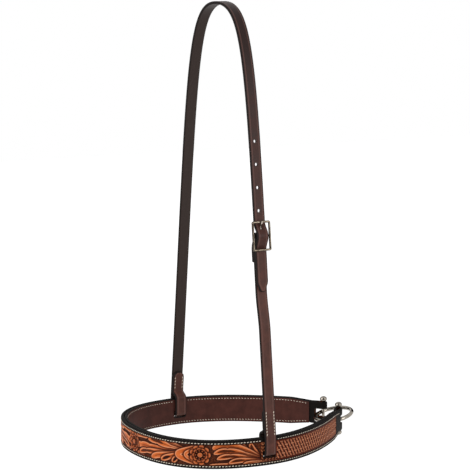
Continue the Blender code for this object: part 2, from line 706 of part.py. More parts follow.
def main():
    for item in list(bpy.data.objects):
        bpy.data.objects.remove(item, do_unlink=True)
    collection = bpy.data.collections.new("bridle_noseband")
    bpy.context.scene.collection.children.link(collection)
    make_band()
    for name, side in (("near_pin", 1), ("far_pin", -1)):
        make_pin(name, side * PIN_SPACING / 2)
    make_ring()
    leg, bar = leg_path()
    make_crown_strap(leg, bar)
    make_cheek_strap(leg, bar)
    make_buckle(leg, bar)


main()
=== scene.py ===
import math

import bpy
import numpy as np
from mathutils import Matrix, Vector


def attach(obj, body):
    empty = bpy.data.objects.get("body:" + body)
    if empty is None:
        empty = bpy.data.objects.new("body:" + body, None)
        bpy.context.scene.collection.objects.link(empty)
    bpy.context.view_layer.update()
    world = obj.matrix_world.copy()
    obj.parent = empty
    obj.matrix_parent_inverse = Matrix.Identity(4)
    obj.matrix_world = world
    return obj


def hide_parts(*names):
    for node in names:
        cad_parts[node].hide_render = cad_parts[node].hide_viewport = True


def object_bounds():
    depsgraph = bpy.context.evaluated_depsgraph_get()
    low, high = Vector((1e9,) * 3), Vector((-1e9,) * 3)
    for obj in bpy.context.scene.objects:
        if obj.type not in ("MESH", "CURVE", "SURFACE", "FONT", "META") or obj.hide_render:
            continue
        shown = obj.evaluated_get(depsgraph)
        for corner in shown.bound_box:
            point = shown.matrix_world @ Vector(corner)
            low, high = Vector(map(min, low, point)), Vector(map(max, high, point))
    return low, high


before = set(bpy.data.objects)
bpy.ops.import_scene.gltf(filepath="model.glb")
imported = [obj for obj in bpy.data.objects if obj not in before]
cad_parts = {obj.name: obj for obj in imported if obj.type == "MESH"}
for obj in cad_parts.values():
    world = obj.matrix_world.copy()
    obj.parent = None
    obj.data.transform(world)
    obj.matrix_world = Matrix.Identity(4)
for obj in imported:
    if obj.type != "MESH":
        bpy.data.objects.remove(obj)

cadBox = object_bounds()
mm = 0.001               # blanks are cut in millimetres and bent into metres
print("frame loaded")

# small helpers, used by every piece


def clamp(values):
    return np.clip(values, 0.0, 1.0)


def ease(share):
    share = clamp(share)
    return share * share * (3 - 2 * share)


def bell(gap, width):
    # 1 on a line, and next to nothing two widths away from it
    return np.exp(-(gap / width) ** 2)


def edgeInset(near, edge):
    # how far a rounded end draws its outline in, at this distance from the tip
    return edge - np.sqrt(np.maximum(0.0, edge ** 2 - np.maximum(0.0, edge - near) ** 2))


def deselectAll():
    if bpy.context.object and bpy.context.object.mode != "OBJECT":
        bpy.ops.object.mode_set(mode="OBJECT")
    bpy.ops.object.select_all(action="DESELECT")


def pickOnly(piece):
    deselectAll()
    piece.select_set(True)
    bpy.context.view_layer.objects.active = piece


def addPrimitive(operator, name, **settings):
    deselectAll()
    operator(**settings)
    piece = bpy.context.object
    piece.name = piece.data.name = name
    bpy.ops.object.transform_apply()
    return piece


def placesOf(piece):
    places = np.empty(len(piece.data.vertices) * 3)
    piece.data.vertices.foreach_get("co", places)
    return places.reshape(-1, 3)


def setPlaces(piece, places):
    piece.data.vertices.foreach_set("co", np.ascontiguousarray(places, dtype=np.float32).ravel())
    piece.data.update()


def storeMask(piece, name, values):
    mask = piece.data.attributes.new(name, "FLOAT", "POINT")
    mask.data.foreach_set("value", np.ascontiguousarray(values, dtype=np.float32))


def applyModifier(piece, kind, **settings):
    pickOnly(piece)
    modifier = piece.modifiers.new("work", kind)
    for key, value in settings.items():
        setattr(modifier, key, value)
    bpy.ops.object.modifier_apply(modifier=modifier.name)


def faceOut(piece, angle=40):
    pickOnly(piece)
    bpy.ops.object.mode_set(mode="EDIT")
    bpy.ops.mesh.select_all(action="SELECT")
    bpy.ops.mesh.normals_make_consistent(inside=False)
    bpy.ops.object.mode_set(mode="OBJECT")
    bpy.ops.object.shade_smooth_by_angle(angle=math.radians(angle))


def joinAll(pieces):
    pickOnly(pieces[0])
    for piece in pieces:
        piece.select_set(True)
    if len(pieces) > 1:
        bpy.ops.object.join()
    return bpy.context.object


def finishPiece(piece, material, body, nodes, smoothAngle=40):
    faceOut(piece, smoothAngle)
    piece.data.materials.clear()
    piece.data.materials.append(material)
    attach(piece, body)
    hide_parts(*nodes)
    return piece


# materials

colourMix = {"output": 2, "data_type": "RGBA"}           # 6 and 7 are the Mix node's colour inputs


def linear(hexColour):
    # sRGB hex to the linear values that the shader works in
    parts = [int(hexColour[i:i + 2], 16) / 255 for i in (1, 3, 5)]
    return tuple(p / 12.92 if p <= 0.04045 else ((p + 0.055) / 1.055) ** 2.4 for p in parts) + (1.0,)


def setInputs(node, inputs):
    # an input is given as a value or as another node's output
    for key, value in inputs.items():
        if isinstance(value, bpy.types.NodeSocket):
            node.id_data.links.new(value, node.inputs[key])
        else:
            node.inputs[key].default_value = value


def addNode(tree, kind, inputs=None, output=0, **settings):
    # one node with its settings and links; what comes back is the output asked for
    node = tree.nodes.new("ShaderNode" + kind)
    for key, value in settings.items():
        setattr(node, key, value)
    setInputs(node, inputs or {})
    return node.outputs[output]


def newMaterial(name):
    # with the place on the piece, which every pattern is laid out by
    material = bpy.data.materials.new(name)
    material.use_nodes = True
    tree = material.node_tree
    return material, tree, tree.nodes["Principled BSDF"], addNode(tree, "TexCoord", output="Object")


def makeTooledLeather():
    # vegetable-tanned harness leather, carved, stamped, antiqued and resin-finished:
    # warm orange tan on the high parts, paler where the antique is wiped off and a painted highlight lies on
    # them, dark red-brown where the antique stays in the cuts, black dressed borders, and a soft shine; real
    # pores are too fine to show, so they are drawn coarser
    look = {"tan": "#D9743A", "tanDeep": "#BF5A24", "wipedAndHighlight": "#F2AE84", "cut": "#240702", "burnt": "#5A1806",
            "ground": "#29120C", "weave": "#92390F", "weaveCut": "#1E0400", "black": "#110E0C",
            "flesh": "#7A4426", "mottleMm": 7.0, "poreMm": 0.55, "groundMm": 0.9, "roughness": 0.42,
            "poreRough": 0.16, "groundRough": 0.2, "dressing": 0.25, "shine": 0.07, "worn": (0.32, 0.72),
            "spots": (0.35, 0.72), "poreDeepMm": 0.06, "groundDeepMm": 0.35}
    material, tree, shader, place = newMaterial("tooledVegTanLeather")
    mottle = addNode(tree, "TexNoise", {"Vector": place, "Scale": 1 / (look["mottleMm"] * mm),
                                        "Detail": 4.0, "Roughness": 0.6})
    pores = addNode(tree, "TexNoise", {"Vector": place, "Scale": 1 / (look["poreMm"] * mm), "Detail": 2.0})
    pits = addNode(tree, "TexVoronoi", {"Vector": place, "Scale": 1 / (look["groundMm"] * mm)})
    carve, burn, wipedAndHighlight, matted, weave, black, flesh = (
        addNode(tree, "Attribute", output="Fac", attribute_name=mask)
        for mask in ("carve", "burn", "wipedAndHighlight", "matted", "weave", "black", "flesh"))
    least, most = look["worn"]
    worn = addNode(tree, "MapRange", {"Value": mottle, "From Min": least, "From Max": most})
    tan = addNode(tree, "Mix", {0: worn, 6: linear(look["tanDeep"]), 7: linear(look["tan"])}, **colourMix)
    # the weave's own brown, then the high parts wiped clean and lightened further by a painted highlight, and
    # antique soaked in beside the cuts
    for share, paint in ((weave, "weave"), (wipedAndHighlight, "wipedAndHighlight"), (burn, "burnt")):
        tan = addNode(tree, "Mix", {0: share, 6: tan, 7: linear(look[paint])}, **colourMix)
    cut = addNode(tree, "Mix", {0: weave, 6: linear(look["cut"]), 7: linear(look["weaveCut"])}, **colourMix)
    colour = addNode(tree, "Mix", {0: carve, 6: tan, 7: cut}, **colourMix)
    gain, least = look["spots"]
    spots = addNode(tree, "Math", {0: pits, 1: gain, 2: least}, operation="MULTIPLY_ADD")
    spotted = addNode(tree, "Math", {0: matted, 1: spots}, operation="MULTIPLY")
    for share, paint in ((spotted, "ground"), (black, "black"), (flesh, "flesh")):
        colour = addNode(tree, "Mix", {0: share, 6: colour, 7: linear(look[paint])}, **colourMix)
    rough = look["roughness"] - look["poreRough"] / 2
    for share, gain in ((pores, "poreRough"), (matted, "groundRough"), (black, "dressing")):
        rough = addNode(tree, "Math", {0: share, 1: look[gain], 2: rough}, operation="MULTIPLY_ADD")
    grain = addNode(tree, "Bump", {"Height": pores, "Distance": look["poreDeepMm"] * mm, "Strength": 0.5})
    pitDepth = addNode(tree, "Math", {0: matted, 1: pits}, operation="MULTIPLY")
    bump = addNode(tree, "Bump", {"Height": pitDepth, "Distance": look["groundDeepMm"] * mm,
                                  "Strength": 0.8, "Normal": grain})
    setInputs(shader, {"Base Color": colour, "Roughness": rough, "Specular IOR Level": look["shine"],
                       "Normal": bump})
    return material


def makeDyedLeather(name, look):
    # drum-dyed bridle leather: an even brown with a slight pull-up mottle, fine pores (drawn coarser
    # than real ones), black painted edges, a low waxed shine, a burnished line painted lighter as a
    # highlight, and painted shade towards the crown
    material, tree, shader, place = newMaterial(name)
    mottle = addNode(tree, "TexNoise", {"Vector": place, "Scale": 1 / (look["mottleMm"] * mm),
                                        "Detail": 5.0, "Roughness": 0.62})
    pores = addNode(tree, "TexVoronoi", {"Vector": place, "Scale": 1 / (look["poreMm"] * mm)})
    shade = addNode(tree, "MapRange", {"Value": mottle, "From Min": 0.3, "From Max": 0.7})
    pit = addNode(tree, "MapRange", {"Value": pores, "From Max": 0.5, "To Min": 0.25, "To Max": 0.0})
    # painted shade: the strap is painted darker towards the crown, standing in for the shade on its upper
    # parts, which little light reaches
    low, high, most = look["paintedShadeByHeight"]
    height = addNode(tree, "SeparateXYZ", {"Vector": place}, "Z")
    paintedShadeByHeight = addNode(tree, "MapRange", {"Value": height, "From Min": low, "From Max": high, "To Max": most})
    black, flesh, burnishAndHighlight = (addNode(tree, "Attribute", output="Fac", attribute_name=mask)
                            for mask in ("black", "flesh", "burnishAndHighlight"))
    colour = linear(look["dark"])
    for share, paint in ((shade, "light"), (pit, "dark"), (paintedShadeByHeight, "deep"), (flesh, "flesh"),
                         (burnishAndHighlight, "burnishAndHighlight"), (black, "edge")):
        colour = addNode(tree, "Mix", {0: share, 6: colour, 7: linear(look[paint])}, **colourMix)
    rough = look["roughness"] - look["mottleRough"] / 2
    for share, gain in ((mottle, "mottleRough"), (black, "dressing")):
        rough = addNode(tree, "Math", {0: share, 1: look[gain], 2: rough}, operation="MULTIPLY_ADD")
    bump = addNode(tree, "Bump", {"Height": pores, "Distance": look["poreDeepMm"] * mm, "Strength": 0.6})
    setInputs(shader, {"Base Color": colour, "Roughness": rough, "Specular IOR Level": look["shine"],
                       "Normal": bump})
    return material


def makeThread():
    # waxed bonded nylon, three strands: a creamy white with a dull wax sheen and a twist
    look = {"thread": "#EEE2D0", "shadow": "#B59F86", "shadowed": 0.6, "strandMm": 0.45,
            "strandDeepMm": 0.1, "roughness": 0.6}
    material, tree, shader, place = newMaterial("waxedNylonThread")
    twist = addNode(tree, "TexNoise", {"Vector": place, "Scale": 1 / (look["strandMm"] * mm), "Detail": 1.0})
    shade = addNode(tree, "Math", {0: twist, 1: look["shadowed"]}, operation="MULTIPLY")
    colour = addNode(tree, "Mix", {0: shade, 6: linear(look["thread"]), 7: linear(look["shadow"])},
                     **colourMix)
    bump = addNode(tree, "Bump", {"Height": twist, "Distance": look["strandDeepMm"] * mm, "Strength": 0.5})
    setInputs(shader, {"Base Color": colour, "Roughness": look["roughness"], "Normal": bump})
    return material


def makeSteel():
    # satin stainless: a mid grey metal whose buffing haze breaks the reflections up; the buffing
    # lines are drawn coarser than real ones, which wouldn't show
    look = {"light": "#A8A197", "haze": "#7D766D", "hazeMm": 5.0, "lineMm": 0.3, "lineDeepMm": 0.006,
            "roughness": 0.06, "hazeRough": 0.12}
    material, tree, shader, place = newMaterial("satinStainless")
    haze = addNode(tree, "TexNoise", {"Vector": place, "Scale": 1 / (look["hazeMm"] * mm), "Detail": 3.0})
    lines = addNode(tree, "TexNoise", {"Vector": place, "Scale": 1 / (look["lineMm"] * mm), "Detail": 2.0})
    colour = addNode(tree, "Mix", {0: haze, 6: linear(look["haze"]), 7: linear(look["light"])}, **colourMix)
    rough = addNode(tree, "Math", {0: haze, 1: look["hazeRough"], 2: look["roughness"]},
                    operation="MULTIPLY_ADD")
    bump = addNode(tree, "Bump", {"Height": lines, "Distance": look["lineDeepMm"] * mm, "Strength": 0.2})
    setInputs(shader, {"Base Color": colour, "Metallic": 1.0, "Roughness": rough, "Normal": bump})
    return material


def makeNickel(name, look):
    # nickel plate: grey-brown where it has tarnished, brighter and smoother where it is rubbed
    material, tree, shader, place = newMaterial(name)
    patch = addNode(tree, "TexNoise", {"Vector": place, "Scale": 1 / (look["patchMm"] * mm), "Detail": 4.0})
    rub = addNode(tree, "MapRange", {"Value": patch, "From Min": 0.35, "From Max": 0.65})
    colour = addNode(tree, "Mix", {0: rub, 6: linear(look["dark"]), 7: linear(look["bright"])}, **colourMix)
    rough = addNode(tree, "Math", {0: patch, 1: look["patchRough"], 2: look["roughness"]},
                    operation="MULTIPLY_ADD")
    setInputs(shader, {"Base Color": colour, "Metallic": 1.0, "Roughness": rough})
    return material


tooledLeather = makeTooledLeather()
# the painted shade by height: from and to which height, in metres, it darkens, and how much at most
# the burnished line's colours are painted lighter than the face, as a highlight
liningLook = {"light": "#4E2A23", "dark": "#391D17", "burnishAndHighlight": "#5A352C", "edge": "#15110F",
              "flesh": "#33221D", "deep": "#2C211F", "paintedShadeByHeight": (-0.3, -0.04, 0.0), "mottleMm": 9.0,
              "poreMm": 0.6, "poreDeepMm": 0.05, "roughness": 0.48, "mottleRough": 0.2,
              "shine": 0.12, "dressing": 0.25}
strapLook = {"light": "#5C372E", "dark": "#40261F", "burnishAndHighlight": "#70514A", "edge": "#17110F",
             "flesh": "#332824", "deep": "#281D1B", "paintedShadeByHeight": (-0.3, -0.04, 0.9), "mottleMm": 12.0,
             "poreMm": 0.6, "poreDeepMm": 0.05, "roughness": 0.44, "mottleRough": 0.2,
             "shine": 0.15, "dressing": 0.25}
liningLeather = makeDyedLeather("smoothLiningLeather", liningLook)
bridleLeather = makeDyedLeather("drumDyedBridleLeather", strapLook)
threadMaterial = makeThread()
steelMaterial = makeSteel()
tarnishedNickel = makeNickel("tarnishedNickel", {"bright": "#71675A", "dark": "#443C33", "patchMm": 4.0,
                                                 "patchRough": -0.15, "roughness": 0.3})
rubbedNickel = makeNickel("rubbedNickel", {"bright": "#C4B8AE", "dark": "#8F847A", "patchMm": 3.0,
                                           "patchRough": -0.15, "roughness": 0.3})
print("materials made")

# the lines that the leather follows, in millimetres, as in the CAD

fit = 0.3                # between the plies, and between leather and what lies on it
pathStep = 0.8
arcSteps = 24
band = {"width": 28.6, "endWidth": 24.0, "taper": 22.0, "outerPly": 3.7, "linerPly": 3.0,
        "hoopWidth": 196.0, "hoopLength": 232.2, "noseToCheek": 97.7, "chinAngle": math.radians(50),
        "noseHandle": 0.631, "cheekHandle": 0.662, "jawHandle": 0.394, "chinHandle": 0.364,
        "foldSewn": 5.5, "foldSkive": 0.6, "slotDrop": 17.2, "slotHeight": 6.8, "slotSide": 0.5}
chin = {"ringRadius": 19.9, "wire": 2.1, "ahead": 3.5, "tilt": math.radians(12), "swing": 2.5,
        "slotRoom": 1.3, "pin": 1.6, "pinRoom": 0.4, "head": 3.85, "headRise": 2.95}
strap = {"width": 12.7, "thickness": 3.0, "crownHeight": 445.2, "legHandles": (0.648, 0.826),
         "crownHandle": 0.668, "gapOutside": 0.4, "gapInside": 1.1, "corner": 1.5, "rise": 1.0,
         "neck": 8.0, "sewn": 21.0, "loopPoint": 4.0, "billetTail": 56.0, "billetPoint": 9.5,
         "hole": 1.75, "holePitch": 23.1, "holeCount": 4, "holeRise": 3.5, "foldTail": 28.0,
         "skive": 0.67, "skiveLength": 10.0, "blend": 40.0}
# bow is how far the CAD's bent frame stands off, and lift how far this flat one does
buckle = {"rise": 216.0, "height": 30.2, "wire": 2.2, "corner": 1.9, "bow": 4.2, "lift": 3.4,
          "side": 1.95, "barRoom": 1.6, "foldRoom": 0.3, "tongue": 1.0, "overhang": 0.1,
          "turn": math.radians(250), "tongueSide": 1.0, "slotRoom": 2.4, "punchedSlot": (6.4, 10.8),
          "punchedHalf": 1.12}

halfStrap = strap["thickness"] / 2
bandMiddle = -(strap["crownHeight"] - halfStrap)
slotMiddle = band["width"] / 2 - band["slotDrop"]
slotHalf = strap["width"] / 2 + band["slotSide"]
pinHalf = math.sqrt((chin["ringRadius"] - chin["wire"] - fit - chin["pin"]) ** 2 - chin["ahead"] ** 2)
pinWrap = chin["pin"] + chin["pinRoom"]
pinsY = band["hoopLength"] - band["noseToCheek"]
ringSlot = 2 * (chin["wire"] + chin["swing"])
outsideX = band["hoopWidth"] / 2 + fit / 2 + band["outerPly"] + strap["gapOutside"] + halfStrap
insideX = band["hoopWidth"] / 2 - fit / 2 - band["linerPly"] - strap["gapInside"] - halfStrap
endBar = buckle["height"] / 2 - buckle["wire"] / 2
barReach = math.hypot(buckle["wire"], buckle["wire"]) / 2
foldRadius = barReach + buckle["foldRoom"] + halfStrap * strap["skive"]
waveLow = buckle["bow"] - buckle["wire"] / 2 - buckle["barRoom"] - halfStrap
waveHigh = foldRadius + halfStrap * strap["skive"] + fit + halfStrap
tongueLoop = barReach + buckle["foldRoom"] + buckle["tongue"]
buckleWidth = strap["width"] + 2 * (buckle["side"] + buckle["wire"])
pinWrapHalf = math.pi * pinWrap / 2
eyeHalf = math.pi * foldRadius / 2
foldAlong = np.array([math.sin(band["chinAngle"]), -math.cos(band["chinAngle"])])
foldOut = np.array([math.cos(band["chinAngle"]), math.sin(band["chinAngle"])])


def bezier(start, handle1, handle2, end, steps=160):
    t = np.linspace(0, 1, steps + 1)[:, None]
    return ((1 - t) ** 3 * np.array(start) + 3 * t * (1 - t) ** 2 * np.array(handle1)
            + 3 * t * t * (1 - t) * np.array(handle2) + t ** 3 * np.array(end))


def arc(centre, radius, start, turn, steps=arcSteps):
    angles = start + turn * np.linspace(0, 1, steps + 1)
    return np.array(centre) + radius * np.stack([np.cos(angles), np.sin(angles)], axis=1)


def mirrored(points):
    return points * np.array([-1.0, 1.0])


def makePath(points, zero=0):
    # a line with its length marked off from point zero; its normal is on the right of the travel
    fresh = np.concatenate([[True], np.linalg.norm(np.diff(points, axis=0), axis=1) > 0.001])
    marks = np.cumsum(fresh) - 1
    points = points[fresh]
    places = np.concatenate([[0], np.cumsum(np.linalg.norm(np.diff(points, axis=0), axis=1))])
    before = np.clip(np.arange(len(points)) - 1, 0, None)
    after = np.clip(np.arange(len(points)) + 1, None, len(points) - 1)
    along = points[after] - points[before]
    normals = np.stack([along[:, 1], -along[:, 0]], axis=1)
    normals /= np.linalg.norm(normals, axis=1)[:, None]
    places = places - places[marks[zero]]
    return {"points": points, "places": places, "normals": normals, "marks": places[marks]}


def onPath(path, place, offset=0.0):
    columns = [np.interp(place, path["places"], values) for values in (*path["points"].T, *path["normals"].T)]
    point, normal = np.stack(columns[:2], axis=-1), np.stack(columns[2:], axis=-1)
    normal = normal / np.linalg.norm(normal, axis=-1, keepdims=True)
    return point + normal * np.asarray(offset)[..., None], normal


def beside(path, start, end, offset):
    count = max(2, math.ceil(abs(end - start) / pathStep))
    places = np.linspace(start, end, count + 1)
    return onPath(path, places, offset(places) * np.ones(count + 1))[0]


def bothHalves(line):
    # a path from the far half's end through the middle to the near half's end
    return makePath(np.concatenate([mirrored(line[::-1])[:-1], line]), zero=len(line) - 1)


def ringSlotReach():
    # from the pin's wrap to where the ring comes clear of the fold's face
    start = np.array([pinHalf, -chin["ahead"]]) - foldOut * (pinWrap + band["outerPly"] * band["foldSkive"])
    along = start.dot(foldAlong)
    beyond = start.dot(start) - (chin["ringRadius"] + chin["wire"]) ** 2
    return math.sqrt(along * along - beyond) - along + chin["slotRoom"]


def hoopPath():
    half, behind, front = band["hoopWidth"] / 2, pinsY, band["noseToCheek"]
    nose, cheek, pin = np.array([0, -front]), np.array([half, 0]), np.array([pinHalf, behind])
    toCheek = bezier(nose, nose + [half * band["noseHandle"], 0],
                     cheek - [0, front * band["cheekHandle"]], cheek)
    toPin = bezier(cheek, cheek + [0, behind * band["jawHandle"]],
                   pin + foldAlong * behind * band["chinHandle"], pin)
    line = np.concatenate([toCheek, toPin[1:]])
    path = bothHalves(line)
    return path, path["marks"][len(line) + len(toCheek) - 2]


def outerPath(hoop, cheek):
    # flesh side of the outer ply: along the hoop, round each pin and back inside it
    end = hoop["places"][-1]
    tab = end - foldTab

    def offset(place):
        return fit / 2 + (pinWrap - fit / 2) * ease((place - tab) / (end - tab))

    pin, normal = onPath(hoop, end)
    toCheek = beside(hoop, 0, cheek, offset)
    toTab = np.concatenate([toCheek, beside(hoop, cheek, tab, offset)[1:]])
    toPin = np.concatenate([toTab, beside(hoop, tab, end, offset)[1:]])
    wrap = arc(pin, pinWrap, math.atan2(normal[1], normal[0]), math.pi)
    back = beside(hoop, end, tab, lambda place: -offset(place))
    line = np.concatenate([toPin, wrap[1:], back[1:]])
    path = bothHalves(line)
    stops = (len(toCheek) - 1, len(toTab) - 1, len(toPin) - 1 + arcSteps // 2)
    return (path, *(path["marks"][len(line) - 1 + stop] for stop in stops))


def legPath():
    foot = np.array([outsideX, band["width"] / 2 + strap["rise"]])
    height, half = strap["crownHeight"], band["hoopWidth"] / 2
    handle = np.array([half * strap["legHandles"][0], height * strap["legHandles"][1]])
    leg = makePath(bezier(foot, handle, [half * strap["crownHandle"], height], [0, height]))
    rises = leg["points"][:, 1]
    above = int(np.argmax(rises >= buckle["rise"]))
    bar = np.interp(buckle["rise"], rises[above - 1:above + 1], leg["places"][above - 1:above + 1])
    return leg, float(bar)


def loopPoints(leg):
    corner = strap["corner"] + halfStrap
    foot = leg["points"][0]
    top = np.array([insideX, foot[1]])
    sewn = beside(leg, strap["neck"] + strap["sewn"], strap["neck"],
                  lambda place: -(strap["thickness"] + fit))
    down = (sewn[-1] - sewn[-2]) / np.linalg.norm(sewn[-1] - sewn[-2])
    neck = bezier(sewn[-1], sewn[-1] + down * strap["neck"] / 2, top + [0, strap["neck"] / 2], top)
    turnOut = arc((insideX + corner, slotMiddle + corner), corner, math.pi, math.pi / 2)
    turnUp = arc((foot[0] - corner, slotMiddle + corner), corner, -math.pi / 2, math.pi / 2)
    return np.concatenate([sewn, neck[1:], turnOut, turnUp, [foot]])


def billetOffset(bar):
    def offset(place):
        above = place - bar
        share = np.minimum(1.0, np.abs(above) / endBar)
        wave = waveLow + (waveHigh - waveLow) * (1 + np.cos(math.pi * share)) / 2
        return np.where(above > endBar, waveLow * (1 - ease((above - endBar) / strap["blend"])), wave)
    return offset


def crownPath(leg, bar):
    offset = billetOffset(bar)
    tail = beside(leg, bar - strap["billetTail"], bar, offset)
    line = np.concatenate([tail, beside(leg, bar, leg["places"][-1], offset)[1:],
                           mirrored(leg["points"][::-1])[1:]])
    farFoot = len(line) - 1
    line = np.concatenate([line, mirrored(loopPoints(leg)[::-1])[1:]])
    path = makePath(line, zero=len(tail) - 1)
    return path, path["marks"][farFoot]


def cheekSkive(below):
    return strap["skive"] + (1 - strap["skive"]) * ease(below / strap["skiveLength"])


def cheekPath(leg, bar):
    thick = strap["thickness"]
    tail = bar - strap["billetTail"]
    under = waveLow - thick - fit
    line = loopPoints(leg)
    nearFoot = len(line) - 1
    rise = beside(leg, 0, tail, lambda place: under * ease((place - tail + strap["blend"]) / strap["blend"]))
    billet = makePath(beside(leg, tail, bar, billetOffset(bar)))
    length = billet["places"][-1]
    front = makePath(beside(billet, 0, length,
                            lambda place: -(halfStrap + fit + halfStrap * cheekSkive(length - place))))
    span = front["places"][-1]
    eye = 2 * (foldRadius - halfStrap * strap["skive"])

    def backPly(place):
        below = span - place
        opening = fit + (eye - fit) * (1 - ease(below / strap["skiveLength"]))
        return -(thick * cheekSkive(below) + opening)

    centre, normal = onPath(leg, bar)
    line = np.concatenate([line, rise[1:], front["points"][1:]])
    zero = len(line) - 1 + arcSteps // 2
    fold = arc(centre, foldRadius, math.atan2(normal[1], normal[0]), math.pi)[1:]
    line = np.concatenate([line, fold, beside(front, span, span - strap["foldTail"], backPly)[1:]])
    path = makePath(line, zero=zero)
    return path, path["marks"][nearFoot]


def inPlan(point, side):
    return np.stack([point[:, 0], point[:, 1], side + bandMiddle], axis=1)


def inSideView(point, side):
    return np.stack([point[:, 0], side, point[:, 1] + bandMiddle], axis=1)


def bendOn(piece, path, view, skive=None):
    # lays a flat blank along a path and brings it to metres
    flat = placesOf(piece)
    depth = flat[:, 2] * (skive(flat[:, 0]) if skive else 1.0)
    point = onPath(path, flat[:, 0], depth)[0]
    setPlaces(piece, view(point, flat[:, 1]) * mm)


ringReach = ringSlotReach()
foldTab = ringReach + band["foldSewn"]
hoop, hoopCheek = hoopPath()
linerEnd = hoop["places"][-1] - foldTab - fit
outer, outerCheek, outerTab, wrapMiddle = outerPath(hoop, hoopCheek)
leg, bar = legPath()
crown, farFoot = crownPath(leg, bar)
cheekLine, nearFoot = cheekPath(leg, bar)
barPlace, barOut = onPath(leg, bar)
barUp = np.array([-barOut[1], barOut[0]])

# blanks: a grid rolled round the cross-section of a strap, still flat


def stationsOn(path, start, end, longest, edge, turn=0.14):
    # close together where the path turns, and at both ends, where the blank is rounded off
    rim = edge * np.array([0.0, 0.07, 0.28, 0.6])
    fine = np.linspace(start + edge, end - edge, 6001)
    normals = onPath(path, fine)[1]
    turned = np.abs(np.diff(np.unwrap(np.arctan2(normals[:, 1], normals[:, 0]))))
    middle = (fine[1:] + fine[:-1]) / 2
    step = longest(middle) if callable(longest) else longest
    need = np.concatenate([[0], np.cumsum(np.diff(fine) / step + turned / turn)])
    inner = np.interp(np.linspace(0, need[-1], math.ceil(need[-1]) + 1), need, fine)
    return np.concatenate([start + rim, inner, end - rim[::-1]])


def slabRings(stations, halfWidth, low, high, edge, faceCells, backCells, edgeCells=4):
    # cross-section at each station: front face, rounded edge, back face, rounded edge
    thick, middle = (high - low) / 2, (high + low) / 2
    outline = [(side, 0.0, thick) for side in np.linspace(-1, 1, faceCells + 1)]
    for angle in np.linspace(90, 0, edgeCells + 1)[1:]:
        rad = math.radians(angle)
        outline.append((1.0, edge * math.cos(rad), thick - edge + edge * math.sin(rad)))
    right = outline[faceCells + 1:]
    outline += [(side, dv, -dz) for side, dv, dz in right[::-1]]
    outline += [(side, 0.0, -thick) for side in np.linspace(1, -1, backCells + 1)]
    outline += [(-side, -dv, -dz) for side, dv, dz in right]
    outline += [(-side, -dv, dz) for side, dv, dz in right[::-1]]
    side, dv, dz = np.array(outline).T
    near = np.minimum(stations - stations[0], stations[-1] - stations)
    inset = edgeInset(near, edge)
    width = halfWidth(stations) - edge - inset
    across = side[None, :] * width[:, None] + dv[None, :]
    deep = middle + dz[None, :] * (1 - inset[:, None] / thick)
    return np.stack([across, deep], axis=-1)


def rolledBlank(name, stations, rings):
    count, around = rings.shape[:2]
    piece = addPrimitive(bpy.ops.mesh.primitive_grid_add, name, x_subdivisions=count - 1,
                         y_subdivisions=around, size=2)
    places = placesOf(piece)
    i = np.rint((places[:, 0] + 1) / 2 * (count - 1)).astype(int)
    j = np.rint((places[:, 1] + 1) / 2 * around).astype(int) % around
    setPlaces(piece, np.concatenate([stations[i][:, None], rings[i, j]], axis=1))
    bpy.ops.object.mode_set(mode="EDIT")
    bpy.ops.mesh.select_all(action="SELECT")
    bpy.ops.mesh.remove_doubles(threshold=0.0001)
    bpy.ops.mesh.fill_holes(sides=0)
    bpy.ops.mesh.normals_make_consistent(inside=False)
    bpy.ops.object.mode_set(mode="OBJECT")
    return piece


punching = {"depth": 20, "cornerShare": 0.22, "cornerSteps": 4, "holeSides": 28}
strapEnd = {"tip": 0.34, "curve": 0.85}                   # a point's end, as a share of the width


def punch(piece, slots=(), holes=()):
    # slots are (place, side, length, height); holes are (place, radius)
    tools = []
    for place, side, length, height in slots:
        tool = addPrimitive(bpy.ops.mesh.primitive_cube_add, "punch", size=1, location=(place, side, 0),
                            scale=(length, height, punching["depth"]))
        tools.append(tool)
        # only the upright edges are rounded
        for edge in tool.data.edges:
            foot, head = (tool.data.vertices[i].co.z for i in edge.vertices)
            edge.select = abs(head - foot) > 1
        bpy.ops.object.mode_set(mode="EDIT")
        bpy.ops.mesh.select_mode(type="EDGE")
        bpy.ops.mesh.bevel(offset=min(height, length) * punching["cornerShare"],
                           segments=punching["cornerSteps"])
        bpy.ops.object.mode_set(mode="OBJECT")
    for place, radius in holes:
        tools.append(addPrimitive(bpy.ops.mesh.primitive_cylinder_add, "punch", location=(place, 0, 0),
                                  vertices=punching["holeSides"], radius=radius, depth=punching["depth"]))
    tool = joinAll(tools)
    applyModifier(piece, "BOOLEAN", operation="DIFFERENCE", object=tool, solver="EXACT")
    bpy.data.objects.remove(tool, do_unlink=True)


def pointedWidth(half, start, end, startPoint, endPoint):
    def width(place):
        share = np.ones_like(place)
        if startPoint:
            share = np.minimum(share, (place - start) / startPoint)
        if endPoint:
            share = np.minimum(share, (end - place) / endPoint)
        return half * (strapEnd["tip"] + (1 - strapEnd["tip"]) * clamp(share) ** strapEnd["curve"])
    return width


# stitches: one stitch, copied along a row and bent with the leather

stitch = {"length": 2.2, "width": 0.76, "height": 0.55, "pitch": 3.2, "sunk": 0.05, "slant": 0.12,
          "blunt": 1.6, "dip": 0.22}


